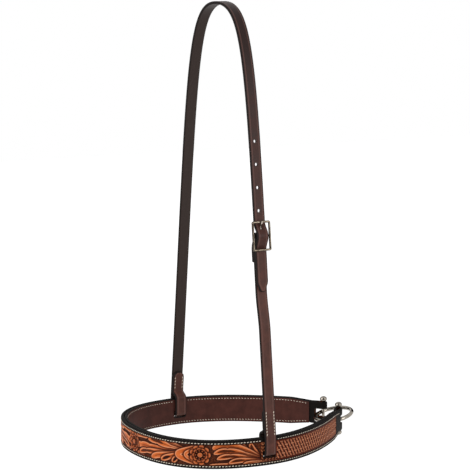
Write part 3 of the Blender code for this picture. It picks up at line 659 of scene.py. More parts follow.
def stitchRow(name, start, end, side, face, size=1.0):
    # side is a number or a function of the place
    count = max(1, round(abs(end - start) / stitch["pitch"]))
    pitch = abs(end - start) / count
    row = addPrimitive(bpy.ops.mesh.primitive_uv_sphere_add, name, segments=8, ring_count=6, radius=0.5)
    shape = placesOf(row)
    # flat-bottomed grain: blunt ends that dip into their holes
    x = shape[:, 2] * 2
    bulge = np.sqrt(clamp(1 - np.abs(x) ** 3)) / np.maximum(0.05, np.sqrt(clamp(1 - x * x)))
    bulge = np.minimum(bulge, stitch["blunt"])
    along = x * stitch["length"] * size / 2
    wide = shape[:, 0] * bulge * stitch["width"] * size + stitch["slant"] * x
    tall = shape[:, 1] * bulge * stitch["height"] - stitch["dip"] * np.abs(x) ** 3
    setPlaces(row, np.stack([along, wide, tall], axis=1))
    applyModifier(row, "ARRAY", count=count, use_relative_offset=False, use_constant_offset=True,
                  constant_offset_displace=(pitch, 0, 0))
    places = placesOf(row)
    places[:, 0] += min(start, end) + pitch / 2
    places[:, 2] += face + math.copysign(stitch["sunk"], face)
    places[:, 1] += side(places[:, 0]) if callable(side) else side
    setPlaces(row, places)
    return row


def bandHalf(taperEnd):
    wide, narrow = band["width"] / 2, band["endWidth"] / 2

    def width(place):
        share = clamp((np.abs(place) - taperEnd + band["taper"]) / band["taper"])
        return wide + (narrow - wide) * share
    return width


# tooling: a generic floral carving on the nose, basket stamping on both cheeks

tooling = {"border": 4.1, "weaveBorder": 5.4, "flower": 88.0, "fieldEnd": 151.0, "weaveStart": 166.5,
           "weaveEnd": 288.0, "groove": 0.35, "depth": 0.6, "groundDepth": 0.7, "plainBurn": 0.85}
# the swivel knife and the beveller: widths, depths and how much antique stays, and where inside each outline
# the painted highlight lies and how wide it is
knife = {"cut": 0.55, "bevel": 1.5, "bevelDepth": 0.3, "bevelBurn": 0.95, "topBurn": 0.12,
         "rimLight": 0.95, "rimWidth": 0.4}
leafCut = {"skew": 0.62, "full": 0.6, "stem": 0.35, "lobed": 0.72, "waist": 0.7, "low": -0.1,
           "dome": 0.3, "hollowFrom": 0.25, "hollowStop": 0.85, "hollowSoft": 0.3, "hollowBurn": 0.3,
           "hollowDepth": 0.15, "vein": 0.36, "veinFrom": 0.18, "veinPastDrop": 0.42, "veinStop": 0.97,
           "veinDark": 0.9, "dropFrom": 0.1, "dropLong": 0.45, "dropWide": 0.45, "dropDepth": 0.5}
# each ring of petals is how far it reaches, how deep it is scalloped and its turn
flowerCut = {"petals": 9, "rings": ((10.7, 2.2, 0.0), (7.7, 1.4, math.pi / 9)), "petalLow": -0.2,
             "petalRise": 0.35, "petalLight": 0.45, "petalBurn": 0.35, "split": 0.5, "stroke": 1.1,
             "strokeRoom": 1.8, "strokeDark": 0.85, "eye": (2.8, 5.4), "eyeDepth": 0.6, "beadAt": 4.2,
             "bead": 0.95, "boss": 2.75, "bossRing": 1.4}
shells = {"radius": 2.0, "up": 3.6, "upCount": 6, "upFrom": -9.0, "along": 3.7, "alongCount": 4,
          "alongFrom": 4.2, "alongSide": -8.5}
# the lighter crowns of the bars and ties are wiped antique and a painted highlight together
weaving = {"cell": 4.1, "row": 8.4, "slant": 0.55, "barHalf": 0.32, "barEnd": 0.4, "tieHalf": 0.11,
           "tieSoft": 0.08, "tieHigh": 0.9, "tieWipedHighlight": 0.95, "wipedHighlightAt": -0.1, "wipedHighlightWidth": 0.16,
           "cutSteep": 1.6, "low": -0.6, "high": 0.7, "burn": 0.9, "wipedAndHighlight": 0.65}
# leaves on the near half: tip, two bends and root as (along, up), half width, scallops, and the strength
# of the teardrop cut in the tip; the far half mirrors them, and each lies over the ones before it
leaves = [
    ((46, 10.2), (54, 10.6), (63, 9.4), (72, 6.2), 1.8, 0, 0.0),
    ((21, -10.2), (16, -11.0), (9, -9.6), (4, -6.0), 2.1, 0, 0.7),
    ((4, -2.4), (17, 4.4), (40, -1.6), (72, 4.6), 3.9, 3, 0.0),
    ((12, -8.6), (17, -1.6), (44, -4.6), (72, 4.2), 3.4, 2, 0.9),
    ((27, 8.4), (40, 11.8), (52, 4.6), (72, 5.2), 3.9, 2, 0.9),
    ((26, 9.4), (17, 11.4), (9, 10.0), (3, 6.0), 2.6, 0, 0.7),
    ((33, -10.0), (36, -4.4), (52, -4.6), (72, 3.4), 3.5, 0, 0.0),
    ((46, -9.6), (50, -5.6), (60, -4.2), (72, 3.0), 3.3, 0, 1.0),
    ((60, -10.2), (61, -6.2), (66, -3.0), (73, 2.4), 3.0, 0, 1.0),
    ((97, -10.2), (108, -11.4), (121, -10.8), (131, -6.4), 2.7, 0, 0.8),
    ((139, 10.8), (136, 6.0), (144, 2.0), (149, -6.0), 2.9, 0, 0.9),
    ((131, 10.4), (129, 4.0), (140, 1.0), (149, -6.4), 3.0, 2, 1.0),
    ((100, 6.2), (110, 12.6), (126, 9.4), (148, -3.6), 4.1, 0, 0.0),
    ((101, 1.0), (112, 7.6), (126, 2.6), (149, -5.0), 3.6, 2, 0.9),
    ((104, -4.4), (115, 1.6), (130, -3.4), (149, -6.4), 3.3, 2, 0.9),
    ((116, -8.8), (123, -4.0), (136, -7.2), (150, -7.6), 3.0, 0, 0.9),
    ((130, -10.2), (135, -8.4), (143, -9.6), (151, -8.4), 2.0, 0, 0.0)]
# two plain crescents hug the large flower
crescents = [{"tip": (90, 10.4), "bend": (57, -1.0), "root": (92, -10.6), "half": 3.5},
             {"tip": (92, 10.2), "bend": (68, 0.0), "root": (90, -9.8), "half": 2.3}]


def nearestOn(line, u, v):
    # distance from a drawn line, and the share of it at the nearest place
    best, share = np.full(u.shape, 99.0), np.zeros(u.shape)
    for i, (a, b) in enumerate(zip(line[:-1], line[1:])):
        run = b - a
        t = np.clip(((u - a[0]) * run[0] + (v - a[1]) * run[1]) / run.dot(run), 0, 1)
        gap = np.hypot(u - a[0] - t * run[0], v - a[1] - t * run[1])
        closer = gap < best
        best[closer], share[closer] = gap[closer], ((i + t) / (len(line) - 1))[closer]
    return best, share


def drawnCurve(*points):
    # a curve between two end points, pulled by the one or two bends between them
    return bezier(points[0], points[1], points[-2], points[-1], 16)


def newField(shape, **levels):
    # the tooled face: how far it is cut, antiqued, wiped clean and painted with a highlight, and matted, and
    # its height
    keys = ("carve", "burn", "wipedAndHighlight", "ground", "height")
    return {key: np.full(shape, float(levels.get(key, 0.0))) for key in keys}


def carveShape(field, rim, top, light=0.8):
    # raises one leaf or petal over what is under it, bevels the leather down outside its outline, and paints
    # a highlight just inside it; rim is the distance inside the outline
    inside = rim > 0
    pressed = bell(rim, knife["bevel"])
    burnt = np.maximum(field["burn"], knife["bevelBurn"] * pressed)
    # painted highlight: a pale band just inside the outline, on top of the antique wiped off the high part
    bright = light * bell(rim - knife["rimLight"], knife["rimWidth"])
    field["ground"][inside] = 0.0
    field["burn"] = np.where(inside, knife["topBurn"], burnt)
    field["wipedAndHighlight"] = np.where(inside, bright, field["wipedAndHighlight"] * (1 - pressed))
    field["height"] = np.where(inside, top, field["height"] - knife["bevelDepth"] * pressed)
    field["carve"] = np.maximum(np.where(inside, 0.0, field["carve"]), bell(rim, knife["cut"]))


def cutInside(field, inside, cut, depth=0.35):
    # a swivel-knife cut or a stamp inside a shape
    field["carve"] = np.where(inside, np.maximum(field["carve"], cut), field["carve"])
    field["wipedAndHighlight"] = np.where(inside, field["wipedAndHighlight"] * (1 - cut), field["wipedAndHighlight"])
    field["height"] = np.where(inside, field["height"] - depth * cut, field["height"])


def carveLeaf(field, u, v, tip, bend1, bend2, root, half, scallops, drop):
    gap, share = nearestOn(drawnCurve(tip, bend1, bend2, root), u, v)
    swell = clamp(np.sin(math.pi * clamp(share) ** leafCut["skew"])) ** leafCut["full"]
    width = half * swell + leafCut["stem"] * share
    if scallops:
        waist, lobed = leafCut["waist"], leafCut["lobed"]
        lobe = np.abs(np.sin(math.pi * scallops * clamp(share / lobed)))
        width = width * np.where(share < lobed, waist + (1 - waist) * lobe ** 0.5, waist)
    rim = width - gap
    inside = rim > 0
    carveShape(field, rim, leafCut["low"] + leafCut["dome"] * np.sqrt(clamp(rim / half)))
    # a hollow along the middle, antiqued a little
    hollow = ease(rim / half - leafCut["hollowFrom"])
    hollow = hollow * ease((leafCut["hollowStop"] - share) / leafCut["hollowSoft"])
    burnt = np.maximum(field["burn"], leafCut["hollowBurn"] * hollow)
    field["burn"] = np.where(inside, burnt, field["burn"])
    field["height"] = np.where(inside, field["height"] - leafCut["hollowDepth"] * hollow, field["height"])
    start = leafCut["veinPastDrop"] if drop else leafCut["veinFrom"]
    vein = bell(gap, leafCut["vein"]) * ease((share - start) / 0.15)
    vein = vein * ease((leafCut["veinStop"] - share) / 0.12)
    cutInside(field, inside, vein * leafCut["veinDark"])
    if drop:
        # a teardrop, wide at the tip's end and run out to a line
        run = clamp((share - leafCut["dropFrom"]) / leafCut["dropLong"])
        reach = leafCut["dropWide"] * width * clamp(np.sin(math.pi * run)) ** leafCut["full"]
        cutInside(field, inside, drop * ease((reach - gap + 0.3) / 0.5), leafCut["dropDepth"])


def carveFlower(field, u, v, centre, turn=0.0):
    petals, beadAt = flowerCut["petals"], flowerCut["beadAt"]
    away = np.hypot(u - centre, v)
    angle = np.arctan2(v, u - centre) + turn
    for reach, scallop, spin in flowerCut["rings"]:
        lobe = np.abs(np.cos(petals * (angle + spin) / 2))
        rim = reach - scallop * (1 - lobe) ** 1.4 - away
        inside = rim > 0
        rise = flowerCut["petalRise"] * lobe * clamp((away - 3) / 4)
        carveShape(field, rim, flowerCut["petalLow"] + rise, flowerCut["petalLight"])
        field["burn"] = np.where(inside, flowerCut["petalBurn"], field["burn"])
        split = away * lobe / (petals / 2)
        cutInside(field, inside, bell(split, flowerCut["split"]), 0.4)
        # a short dark stroke in the middle of each petal
        stroke = bell(away * (1 - lobe), flowerCut["stroke"]) * ease(reach - flowerCut["strokeRoom"] - away)
        cutInside(field, inside, flowerCut["strokeDark"] * stroke, 0.3)
    low, high = flowerCut["eye"]
    dark = (away < high) & (away > low)
    for key, level in (("carve", 1.0), ("wipedAndHighlight", 0.0), ("height", -flowerCut["eyeDepth"])):
        field[key][dark] = level
    for i in range(petals):
        bead = 2 * math.pi * (i + 0.5) / petals
        gap = np.hypot(u - centre - beadAt * math.cos(bead), v - beadAt * math.sin(bead))
        carveShape(field, flowerCut["bead"] - gap, 0.1 - 0.2 * gap)
    carveShape(field, flowerCut["boss"] - away, 0.25 - 0.05 * away ** 2, 0.5)
    cutInside(field, away < 2.4, 0.7 * bell(away - flowerCut["bossRing"], 0.3), 0.15)


def stampShell(field, away):
    # a dark bow inside a bright rim
    rim = shells["radius"] - away
    carveShape(field, rim, -0.05 + 0.2 * clamp(rim))
    cutInside(field, rim > 0.9, 0.9 * ease((rim - 0.9) / 0.3))


def carveNose(u, v):
    near = np.abs(u)
    field = newField(u.shape, ground=1.0, height=-tooling["groundDepth"])
    for leaf in leaves:
        carveLeaf(field, near, v, *leaf)
    for shape in crescents:
        gap, share = nearestOn(drawnCurve(shape["tip"], shape["bend"], shape["root"]), near, v)
        rim = shape["half"] * (1 - 0.5 * np.abs(2 * share - 1) ** 2) - gap
        carveShape(field, rim, -0.15 + 0.4 * np.sqrt(clamp(rim / shape["half"])))
    carveFlower(field, near, v, tooling["flower"])
    carveFlower(field, u, v, 0.0, 0.2)
    # a row of shell stamps closes the carving next to the strap's slot
    for i in range(shells["upCount"]):
        away = np.hypot(near - tooling["fieldEnd"], v - shells["upFrom"] - shells["up"] * i)
        stampShell(field, np.where(near > tooling["fieldEnd"] - 1.6, away, shells["radius"] + 9.0))
    return field


def stampSlotEdge(u, v):
    # shells again, in a row under the strap's slot
    field = newField(u.shape, burn=tooling["plainBurn"], height=-tooling["groundDepth"])
    for i in range(shells["alongCount"]):
        place = tooling["fieldEnd"] + shells["alongFrom"] + shells["along"] * i
        stampShell(field, np.hypot(np.abs(u) - place, v - shells["alongSide"]))
    return field


def stampWeave(u, v):
    # basket stamping: tall slanting bars, each column half a bar higher than the last, and a short
    # lying tie across the ends of every bar
    along = (np.abs(u) - tooling["weaveStart"] + weaving["slant"] * v) / weaving["cell"]
    column = np.floor(along)
    over = along - column - 0.5                           # -0.5 to 0.5 across a bar
    rows = v / weaving["row"] + 0.5 * np.mod(column, 2)
    up = np.abs(rows - np.floor(rows) - 0.5)              # 0 at a bar's middle, 0.5 at its ends
    stamped = np.sqrt(clamp(1 - (over / weaving["barHalf"]) ** 2) * clamp(1 - (up / weaving["barEnd"]) ** 6))
    tie = np.sqrt(clamp(1 - ((up - 0.5) / weaving["tieHalf"]) ** 2))
    tie = tie * clamp((0.5 - np.abs(over)) / weaving["tieSoft"])
    raised = np.maximum(stamped, weaving["tieHigh"] * tie)
    # the antique is wiped off the crown of each bar, and a painted highlight lightens it, most on the side
    # that leans to the nose, towards the key light
    barWipedHighlight = bell(over - weaving["wipedHighlightAt"], weaving["wipedHighlightWidth"]) * stamped
    barWipedHighlight = np.maximum(barWipedHighlight, weaving["tieWipedHighlight"] * tie)
    return {"ground": np.zeros(u.shape), "carve": 1 - clamp(raised * weaving["cutSteep"]),
            "burn": weaving["burn"] * (1 - raised), "wipedAndHighlight": weaving["wipedAndHighlight"] * barWipedHighlight,
            "height": weaving["low"] + weaving["high"] * raised}


def toolFace(u, v, half):
    rim = half(u) - np.abs(v)
    near = np.abs(u)
    field = newField(u.shape)
    inBorder = rim > tooling["border"]
    floral = (near < tooling["fieldEnd"] + 2.5) & inBorder
    woven = (near > tooling["weaveStart"]) & (near < tooling["weaveEnd"]) & (rim > tooling["weaveBorder"])
    tan = (near < tooling["weaveEnd"]) & inBorder
    between = tan & ~floral & ~woven
    field["burn"][between] = tooling["plainBurn"]
    atSlot = between & (near < tooling["weaveStart"]) & (v < slotMiddle)
    for mask, stamp in ((floral, carveNose), (woven, stampWeave), (atSlot, stampSlotEdge)):
        done = stamp(u[mask], v[mask])
        for key in field:
            field[key][mask] = done[key]
    # the border grooves that the tooling stops at
    line = bell(rim - tooling["border"], tooling["groove"]) * (near < tooling["weaveEnd"])
    inner = bell(rim - tooling["weaveBorder"], tooling["groove"]) * (near > tooling["weaveStart"])
    for groove in (inner * tan, bell(near - tooling["weaveEnd"], 0.4) * inBorder):
        line = np.maximum(line, groove)
    height = np.where(tan, field["height"], 0.0) * (1 - line) - tooling["depth"] * line
    return {"carve": np.maximum(field["carve"], line), "burn": field["burn"],
            "wipedAndHighlight": field["wipedAndHighlight"] * (1 - line), "matted": field["ground"],
            "weave": (tan & ~floral).astype(float), "black": (~tan).astype(float), "height": height}


def bandSkive(place):
    # thinned round the pin, and no thicker than the liner on the way back
    place = np.abs(place)
    beyond = ease((np.abs(place - wrapMiddle) - pinWrapHalf) / foldTab)
    left = band["foldSkive"] + (1 - band["foldSkive"]) * beyond
    return np.where(place < wrapMiddle, left, np.minimum(left, band["linerPly"] / band["outerPly"]))


def makeTooledBand():
    shape = {"noseCell": 0.5, "cheekCell": 0.8, "edge": 1.0, "faceCells": 60, "backCells": 4,
             "slotRim": 0.9, "slotSoft": 0.5}
    end, half = outer["places"][-1], bandHalf(outerTab)
    stations = stationsOn(outer, -end, end, lambda place: np.where(
        np.abs(place) < outerCheek, shape["noseCell"], shape["cheekCell"]), edge=shape["edge"])
    rings = slabRings(stations, half, 0.0, band["outerPly"], shape["edge"], shape["faceCells"],
                      shape["backCells"])
    piece = rolledBlank("tooledBandLeather", stations, rings)
    punch(piece, slots=[(side * outerCheek, slotMiddle, 2 * slotHalf, band["slotHeight"]) for side in (-1, 1)]
          + [(side * wrapMiddle, 0, 2 * (pinWrapHalf + ringReach), ringSlot) for side in (-1, 1)])
    flat = placesOf(piece)
    u, v, z = flat.T
    field = toolFace(u, v, half)
    front = z > band["outerPly"] - 0.05
    slotRim = np.maximum(np.abs(np.abs(u) - outerCheek) - slotHalf,
                         np.abs(v - slotMiddle) - band["slotHeight"] / 2)
    atSlot = ease((shape["slotRim"] - slotRim) / shape["slotSoft"])
    flat[:, 2] += np.where(front, field["height"] * (1 - atSlot), 0.0)
    setPlaces(piece, flat)
    for name in ("carve", "burn", "wipedAndHighlight", "matted", "weave"):
        storeMask(piece, name, np.where(front, field[name], 0.0))
    storeMask(piece, "black", np.where(front, np.maximum(field["black"], atSlot), 1.0))
    storeMask(piece, "flesh", z < 0.05)
    bendOn(piece, outer, inPlan, bandSkive)
    return finishPiece(piece, tooledLeather, "noseband", ["noseband_outer"], 70)


edging = {"skin": 0.04, "black": 0.95, "slotBlack": 0.7, "soft": 0.5, "burnishAndHighlightWidth": 0.45, "burnishAndHighlight": 0.7}


def edgeMasks(piece, half, low, high, crease, slots=(), fleshBelow=True):
    # black on the rounded edges and in the punched holes, and a burnished line inside the edge, painted
    # lighter as a highlight
    u, v, z = placesOf(piece).T
    rim = half(u) - np.abs(v)
    face = np.minimum(z - low, high - z)
    black = np.where(face > edging["skin"], 1.0, ease((edging["black"] - rim) / edging["soft"]))
    for place, side, length, height in slots:
        gap = np.maximum(np.abs(u - place) - length / 2, np.abs(v - side) - height / 2)
        black = np.maximum(black, ease((edging["slotBlack"] - gap) / edging["soft"]))
    storeMask(piece, "black", black)
    # painted highlight: the burnished line is lighter than the grain face
    burnishAndHighlight = bell(rim - crease, edging["burnishAndHighlightWidth"]) * (z > (low + high) / 2)
    storeMask(piece, "burnishAndHighlight", burnishAndHighlight * (1 - black) * edging["burnishAndHighlight"])
    storeMask(piece, "flesh", z < low + edging["skin"] if fleshBelow else z > high - edging["skin"])


def makeLining():
    shape = {"cell": 1.6, "edge": 0.9, "faceCells": 14, "crease": 4.0}
    half, low, high = bandHalf(linerEnd), -fit / 2 - band["linerPly"], -fit / 2
    stations = stationsOn(hoop, -linerEnd, linerEnd, shape["cell"], edge=shape["edge"])
    rings = slabRings(stations, half, low, high, shape["edge"], shape["faceCells"], shape["faceCells"])
    piece = rolledBlank("bandLiningLeather", stations, rings)
    slots = [(side * hoopCheek, slotMiddle, 2 * slotHalf, band["slotHeight"]) for side in (-1, 1)]
    punch(piece, slots=slots)
    edgeMasks(piece, half, low, high, shape["crease"], slots, fleshBelow=False)
    bendOn(piece, hoop, inPlan)
    finishPiece(piece, liningLeather, "noseband", ["noseband_liner"])


def bandStitches(name, path, cheek, end, face, size, nodes, skive=None):
    seam = {"inset": 2.6, "slotRoom": 2.0, "endRoom": 3}
    half = bandHalf(end)
    clear = cheek - slotHalf - seam["slotRoom"]
    beyond = cheek + slotHalf + seam["slotRoom"]
    stop = end - seam["endRoom"]
    rows = []
    # the upper row leaves the slots free, and the lower one runs right through
    for first, last, side in ((-clear, clear, 1), (beyond, stop, 1), (-stop, -beyond, 1), (-stop, stop, -1)):
        rows.append(stitchRow(name, first, last,
                              lambda place, side=side: side * (half(place) - seam["inset"]), face, size))
    piece = joinAll(rows)
    bendOn(piece, path, inPlan, skive)
    finishPiece(piece, threadMaterial, "noseband", nodes, 60)


tooledBand = makeTooledBand()
print("tooled band:", len(tooledBand.data.polygons), "faces")
makeLining()
bandStitches("outerBandStitches", outer, outerCheek, outerTab, band["outerPly"], 1.0,
             ["noseband_outer_thread", "nose_outer_thread"], bandSkive)
bandStitches("innerBandStitches", hoop, hoopCheek, linerEnd, -fit / 2 - band["linerPly"], 0.8,
             ["noseband_inner_thread", "nose_inner_thread"])
print("lining and band stitches done")

# head strap

strapShape = {"cell": 2.4, "edge": 1.1, "faceCells": 16, "backCells": 8, "crease": 1.75,
              "creaseDepth": 0.22, "creaseWidth": 0.35, "burnishAndHighlightAt": 2.25}
strapSeam = {"inset": 2.0, "tipSide": 2.21, "tipRun": 2.6, "topRoom": 3, "backRoom": 2, "tipRoom": 5}


def makeStrap(name, path, points, slots, holes, node, skive=None):
    start, end = path["places"][0], path["places"][-1]
    half = pointedWidth(strap["width"] / 2, start, end, *points)
    stations = stationsOn(path, start, end, strapShape["cell"], edge=strapShape["edge"])
    rings = slabRings(stations, half, -halfStrap, halfStrap, strapShape["edge"], strapShape["faceCells"],
                      strapShape["backCells"])
    piece = rolledBlank(name, stations, rings)
    punch(piece, slots, holes)
    edgeMasks(piece, half, -halfStrap, halfStrap, strapShape["burnishAndHighlightAt"])
    # the hot-creased line along both edges of the grain side
    flat = placesOf(piece)
    rim = half(flat[:, 0]) - np.abs(flat[:, 1])
    line = bell(rim - strapShape["crease"], strapShape["creaseWidth"]) * strapShape["creaseDepth"]
    flat[:, 2] -= np.where(flat[:, 2] > halfStrap - 0.02, line, 0.0)
    setPlaces(piece, flat)
    bendOn(piece, path, inSideView, skive)
    finishPiece(piece, bridleLeather, "head_strap", [node])


def strapStitches(name, path, spans, nodes):
    # two rows a span, each from start to stop, with a stitch or two across the pointed end
    rows = []
    for start, stop, pointed in spans:
        tip = stop + math.copysign(strapSeam["tipRun"], stop - start)
        runs = [(start, stop, strap["width"] / 2 - strapSeam["inset"]), (stop, tip, strapSeam["tipSide"])]
        for first, last, away in runs if pointed else runs[:1]:
            rows += [stitchRow(name, first, last, side * away, halfStrap) for side in (-1, 1)]
    piece = joinAll(rows)
    bendOn(piece, path, inSideView)
    finishPiece(piece, threadMaterial, "head_strap", nodes, 60)


firstHole, lastHole = buckle["punchedSlot"]
holes = [(strap["holeRise"] + strap["holePitch"] * (i + 1), strap["hole"]) for i in range(strap["holeCount"])]
makeStrap("crownStrapLeather", crown, (strap["billetPoint"], strap["loopPoint"]),
          [((firstHole + lastHole) / 2, 0, lastHole - firstHole, 2 * buckle["punchedHalf"])], holes,
          "crown_strap")
eyeSlot = 2 * (eyeHalf + tongueLoop + buckle["tongue"] + buckle["slotRoom"])
makeStrap("cheekStrapLeather", cheekLine, (strap["loopPoint"], 0),
          [(0, 0, eyeSlot, 2 * (buckle["tongue"] + buckle["tongueSide"]))], (), "near_cheek_strap",
          lambda place: cheekSkive(np.abs(place) - eyeHalf))
loopRun, farEnd, nearEnd = strap["neck"] + strap["sewn"], crown["places"][-1], cheekLine["places"][0]
strapStitches("farLoopStitches", crown,
              [(farFoot - strap["rise"], farFoot - loopRun + strapSeam["topRoom"], True),
               (farEnd - strap["sewn"] + strapSeam["backRoom"], farEnd - strapSeam["tipRoom"], False)],
              ["far_loop_thread"])
strapStitches("nearLoopStitches", cheekLine,
              [(nearFoot + strap["rise"], nearFoot + loopRun - strapSeam["topRoom"], False),
               (nearEnd + strapSeam["tipRoom"], nearEnd + strap["sewn"] - strapSeam["backRoom"], False)],
              ["near_loop_thread"])
strapStitches("buckleFoldStitches", cheekLine,
              [(eyeHalf + strap["skiveLength"], cheekLine["places"][-1] - strapSeam["backRoom"], False)],
              ["buckle_fold_thread"])
print("head strap done")

# buckle, tongue, pins and ring


def makeBuckleFrame():
    shape = {"around": 240, "section": 20, "blank": 10, "square": 0.72, "cornerSteps": 10,
             "barShare": 0.96, "barTaper": 20, "crankRoom": 0.5}
    loop = addPrimitive(bpy.ops.mesh.primitive_torus_add, "buckleFrameWire", major_radius=shape["blank"],
                        minor_radius=1, major_segments=shape["around"], minor_segments=shape["section"])
    wire, corner = buckle["wire"] / 2, buckle["corner"] - buckle["wire"] / 2
    long, wide = buckle["height"] / 2 - wire, buckleWidth / 2 - wire
    # rounded oblong centreline, walked once round
    corners = ((1, -1), (1, 1), (-1, 1), (-1, -1))
    line = np.concatenate([arc((x * (long - corner), y * (wide - corner)), corner, math.pi / 2 * (i - 1),
                               math.pi / 2, shape["cornerSteps"]) for i, (x, y) in enumerate(corners)])
    line = makePath(np.concatenate([line, line[:1]]))
    places = placesOf(loop)
    turn = np.mod(np.arctan2(places[:, 1], places[:, 0]), 2 * math.pi) / (2 * math.pi)
    out, up = np.hypot(places[:, 0], places[:, 1]) - shape["blank"], places[:, 2]
    # nearly square wire with soft corners
    out, up = (np.sign(side) * np.abs(side) ** shape["square"] * wire for side in (out, up))
    centre, normal = onPath(line, turn * line["places"][-1])
    setPlaces(loop, np.concatenate([centre + normal * out[:, None], up[:, None]], axis=1))
    # the middle bar: a sphere drawn out, cranked down between the sides so that the fold lies low
    cross = addPrimitive(bpy.ops.mesh.primitive_uv_sphere_add, "crossBar", segments=24, ring_count=48,
                         radius=1)
    places = placesOf(cross)
    turn = np.arctan2(places[:, 1], places[:, 0])
    side = np.arccos(np.clip(places[:, 2], -1, 1)) / math.pi * 2 - 1
    radius = shape["barShare"] * wire * clamp((1 - np.abs(side)) * shape["barTaper"])
    crank = wide - strap["width"] / 2 - shape["crankRoom"]
    dropped = buckle["lift"] * ease((wide - np.abs(side) * wide) / crank)
    setPlaces(cross, np.stack([radius * np.cos(turn), side * wide, radius * np.sin(turn) - dropped], axis=1))
    faceOut(cross)
    applyModifier(loop, "BOOLEAN", operation="UNION", object=cross, solver="EXACT")
    bpy.data.objects.remove(cross, do_unlink=True)
    reach = buckle["height"] / 2 + 1
    rise = np.linspace(-reach, reach, 2 * arcSteps + 1)[:, None]
    lifted = makePath(barPlace + barUp * rise + barOut * buckle["lift"], zero=arcSteps)
    bendOn(loop, lifted, inSideView)
    finishPiece(loop, tarnishedNickel, "buckle_frame", ["buckle_frame"], 50)


def makeTongue():
    shape = {"section": 16, "tipShare": 0.8, "lean": 0.45, "lowest": 2.1, "lowAt": 7.6, "lastRun": 2.6,
             "fallPull": 0.4, "risePull": 0.5, "edgeShare": 0.8, "cell": 1.0}
    rest = np.array([buckle["lift"] + buckle["wire"] / 2 + fit + buckle["tongue"], endBar])
    loop = arc((0, 0), tongueLoop, -buckle["turn"], buckle["turn"])
    # it lies low under the billet, then rises through the hole on to the end bar
    way = np.array([shape["lean"], 1.0])
    low = np.array([shape["lowest"], shape["lowAt"]])
    pull = [0, shape["lowAt"] * shape["fallPull"]]
    fall = bezier(loop[-1], loop[-1] + pull, low - pull, low)
    rise = bezier(low, low + [0, (endBar - shape["lowAt"]) * shape["risePull"]],
                  rest - way * shape["lastRun"], rest)
    tip = rest + way * (buckle["wire"] / 2 + buckle["overhang"])
    flat = np.concatenate([loop, fall[1:], rise[1:], [tip]])
    line = makePath(barPlace + flat[:, :1] * barOut + flat[:, 1:] * barUp)
    end, edge = line["places"][-1], buckle["tongue"] * shape["edgeShare"]
    stations = stationsOn(line, 0, end, shape["cell"], edge=edge)
    inset = edgeInset(np.minimum(stations, end - stations), edge)
    radius = buckle["tongue"] * (1 - (1 - shape["tipShare"]) * ease(stations / end)) - inset
    angles = np.linspace(0, 2 * math.pi, shape["section"], endpoint=False)
    rings = np.stack([radius[:, None] * np.cos(angles), radius[:, None] * np.sin(angles)], axis=-1)
    piece = rolledBlank("buckleTongueWire", stations, rings)
    bendOn(piece, line, inSideView)
    finishPiece(piece, rubbedNickel, "buckle_tongue", ["buckle_tongue"], 50)


def makePin(name, x, node):
    # one sphere drawn out: its two caps become the domed heads, and its middle the shaft
    shape = {"around": 40, "along": 44, "capTilt": math.radians(80)}
    pin = addPrimitive(bpy.ops.mesh.primitive_uv_sphere_add, name, segments=shape["around"],
                       ring_count=shape["along"], radius=1)
    places = placesOf(pin)
    tilt = np.arccos(clamp(np.abs(places[:, 2])))
    neckAngle = math.asin(chin["pin"] / chin["head"])
    ballAngle = np.minimum(tilt / shape["capTilt"], 1.0) * (math.pi - neckAngle)
    radius = chin["head"] * np.sin(ballAngle)
    height = band["endWidth"] / 2 + fit / 2 + chin["headRise"] + chin["headRise"] * np.cos(ballAngle)
    down = (math.pi / 2 - tilt) / (math.pi / 2 - shape["capTilt"])
    height = np.where(tilt > shape["capTilt"], height * down, height)
    turn = np.arctan2(places[:, 1], places[:, 0])
    side = np.sign(places[:, 2] + 1e-9)
    setPlaces(pin, np.stack([x + radius * np.cos(turn), pinsY + radius * np.sin(turn),
                             bandMiddle + side * height], axis=1) * mm)
    finishPiece(pin, steelMaterial, node, [node], 60)


def makeRing():
    shape = {"around": 144, "section": 24, "weldAt": -0.35, "weldWidth": 0.05, "weldSwell": 0.06}
    ring = addPrimitive(bpy.ops.mesh.primitive_torus_add, "chinRingWire", major_radius=chin["ringRadius"],
                        minor_radius=chin["wire"], major_segments=shape["around"],
                        minor_segments=shape["section"])
    x, y, z = placesOf(ring).T
    # the butt weld, a slight swelling hidden inside the near fold
    swell = 1 + shape["weldSwell"] * bell(np.arctan2(y, x) - shape["weldAt"], shape["weldWidth"])
    flat = np.hypot(x, y)
    out = (flat - chin["ringRadius"]) * swell + chin["ringRadius"]
    x, y, z = x * out / flat, y * out / flat + chin["ahead"], z * swell
    cos, sin = math.cos(chin["tilt"]), math.sin(chin["tilt"])
    setPlaces(ring, np.stack([x, y * cos - z * sin + pinsY, y * sin + z * cos + bandMiddle], axis=1) * mm)
    finishPiece(ring, steelMaterial, "chin_ring", ["chin_ring"], 60)


makeBuckleFrame()
makeTongue()
makePin("nearPinSteel", pinHalf, "near_pin")
makePin("farPinSteel", -pinHalf, "far_pin")
makeRing()
print("metal done")

# camera, floor and light

view = {"azimuth": 61.21, "elevation": 8.37, "distance": 2.081, "target": (0.0, 0.01645, -0.2384),
        "lens": 153.65, "sensor": 36.0}
# the paper glows less by the object, where its shadow falls, and more towards the horizon
studio = {"floorDrop": 0.16, "floorSize": 8.0, "paper": "#F4F4F4", "glowFrom": 0.2, "glowTo": 2.2,
          "glowNear": 0.42, "glowFar": 0.75, "ambient": 0.4, "felt": "#1A1A1A"}
# each soft box: direction round the object, height in degrees, distance, size and power
softBoxes = {"keySoftBox": (12, 22, 1.9, 0.9, 23.0), "fillSoftBox": (112, 10, 2.0, 0.75, 10.0),
             "frontSoftBox": (66, -4, 2.3, 0.8, 2.5)}
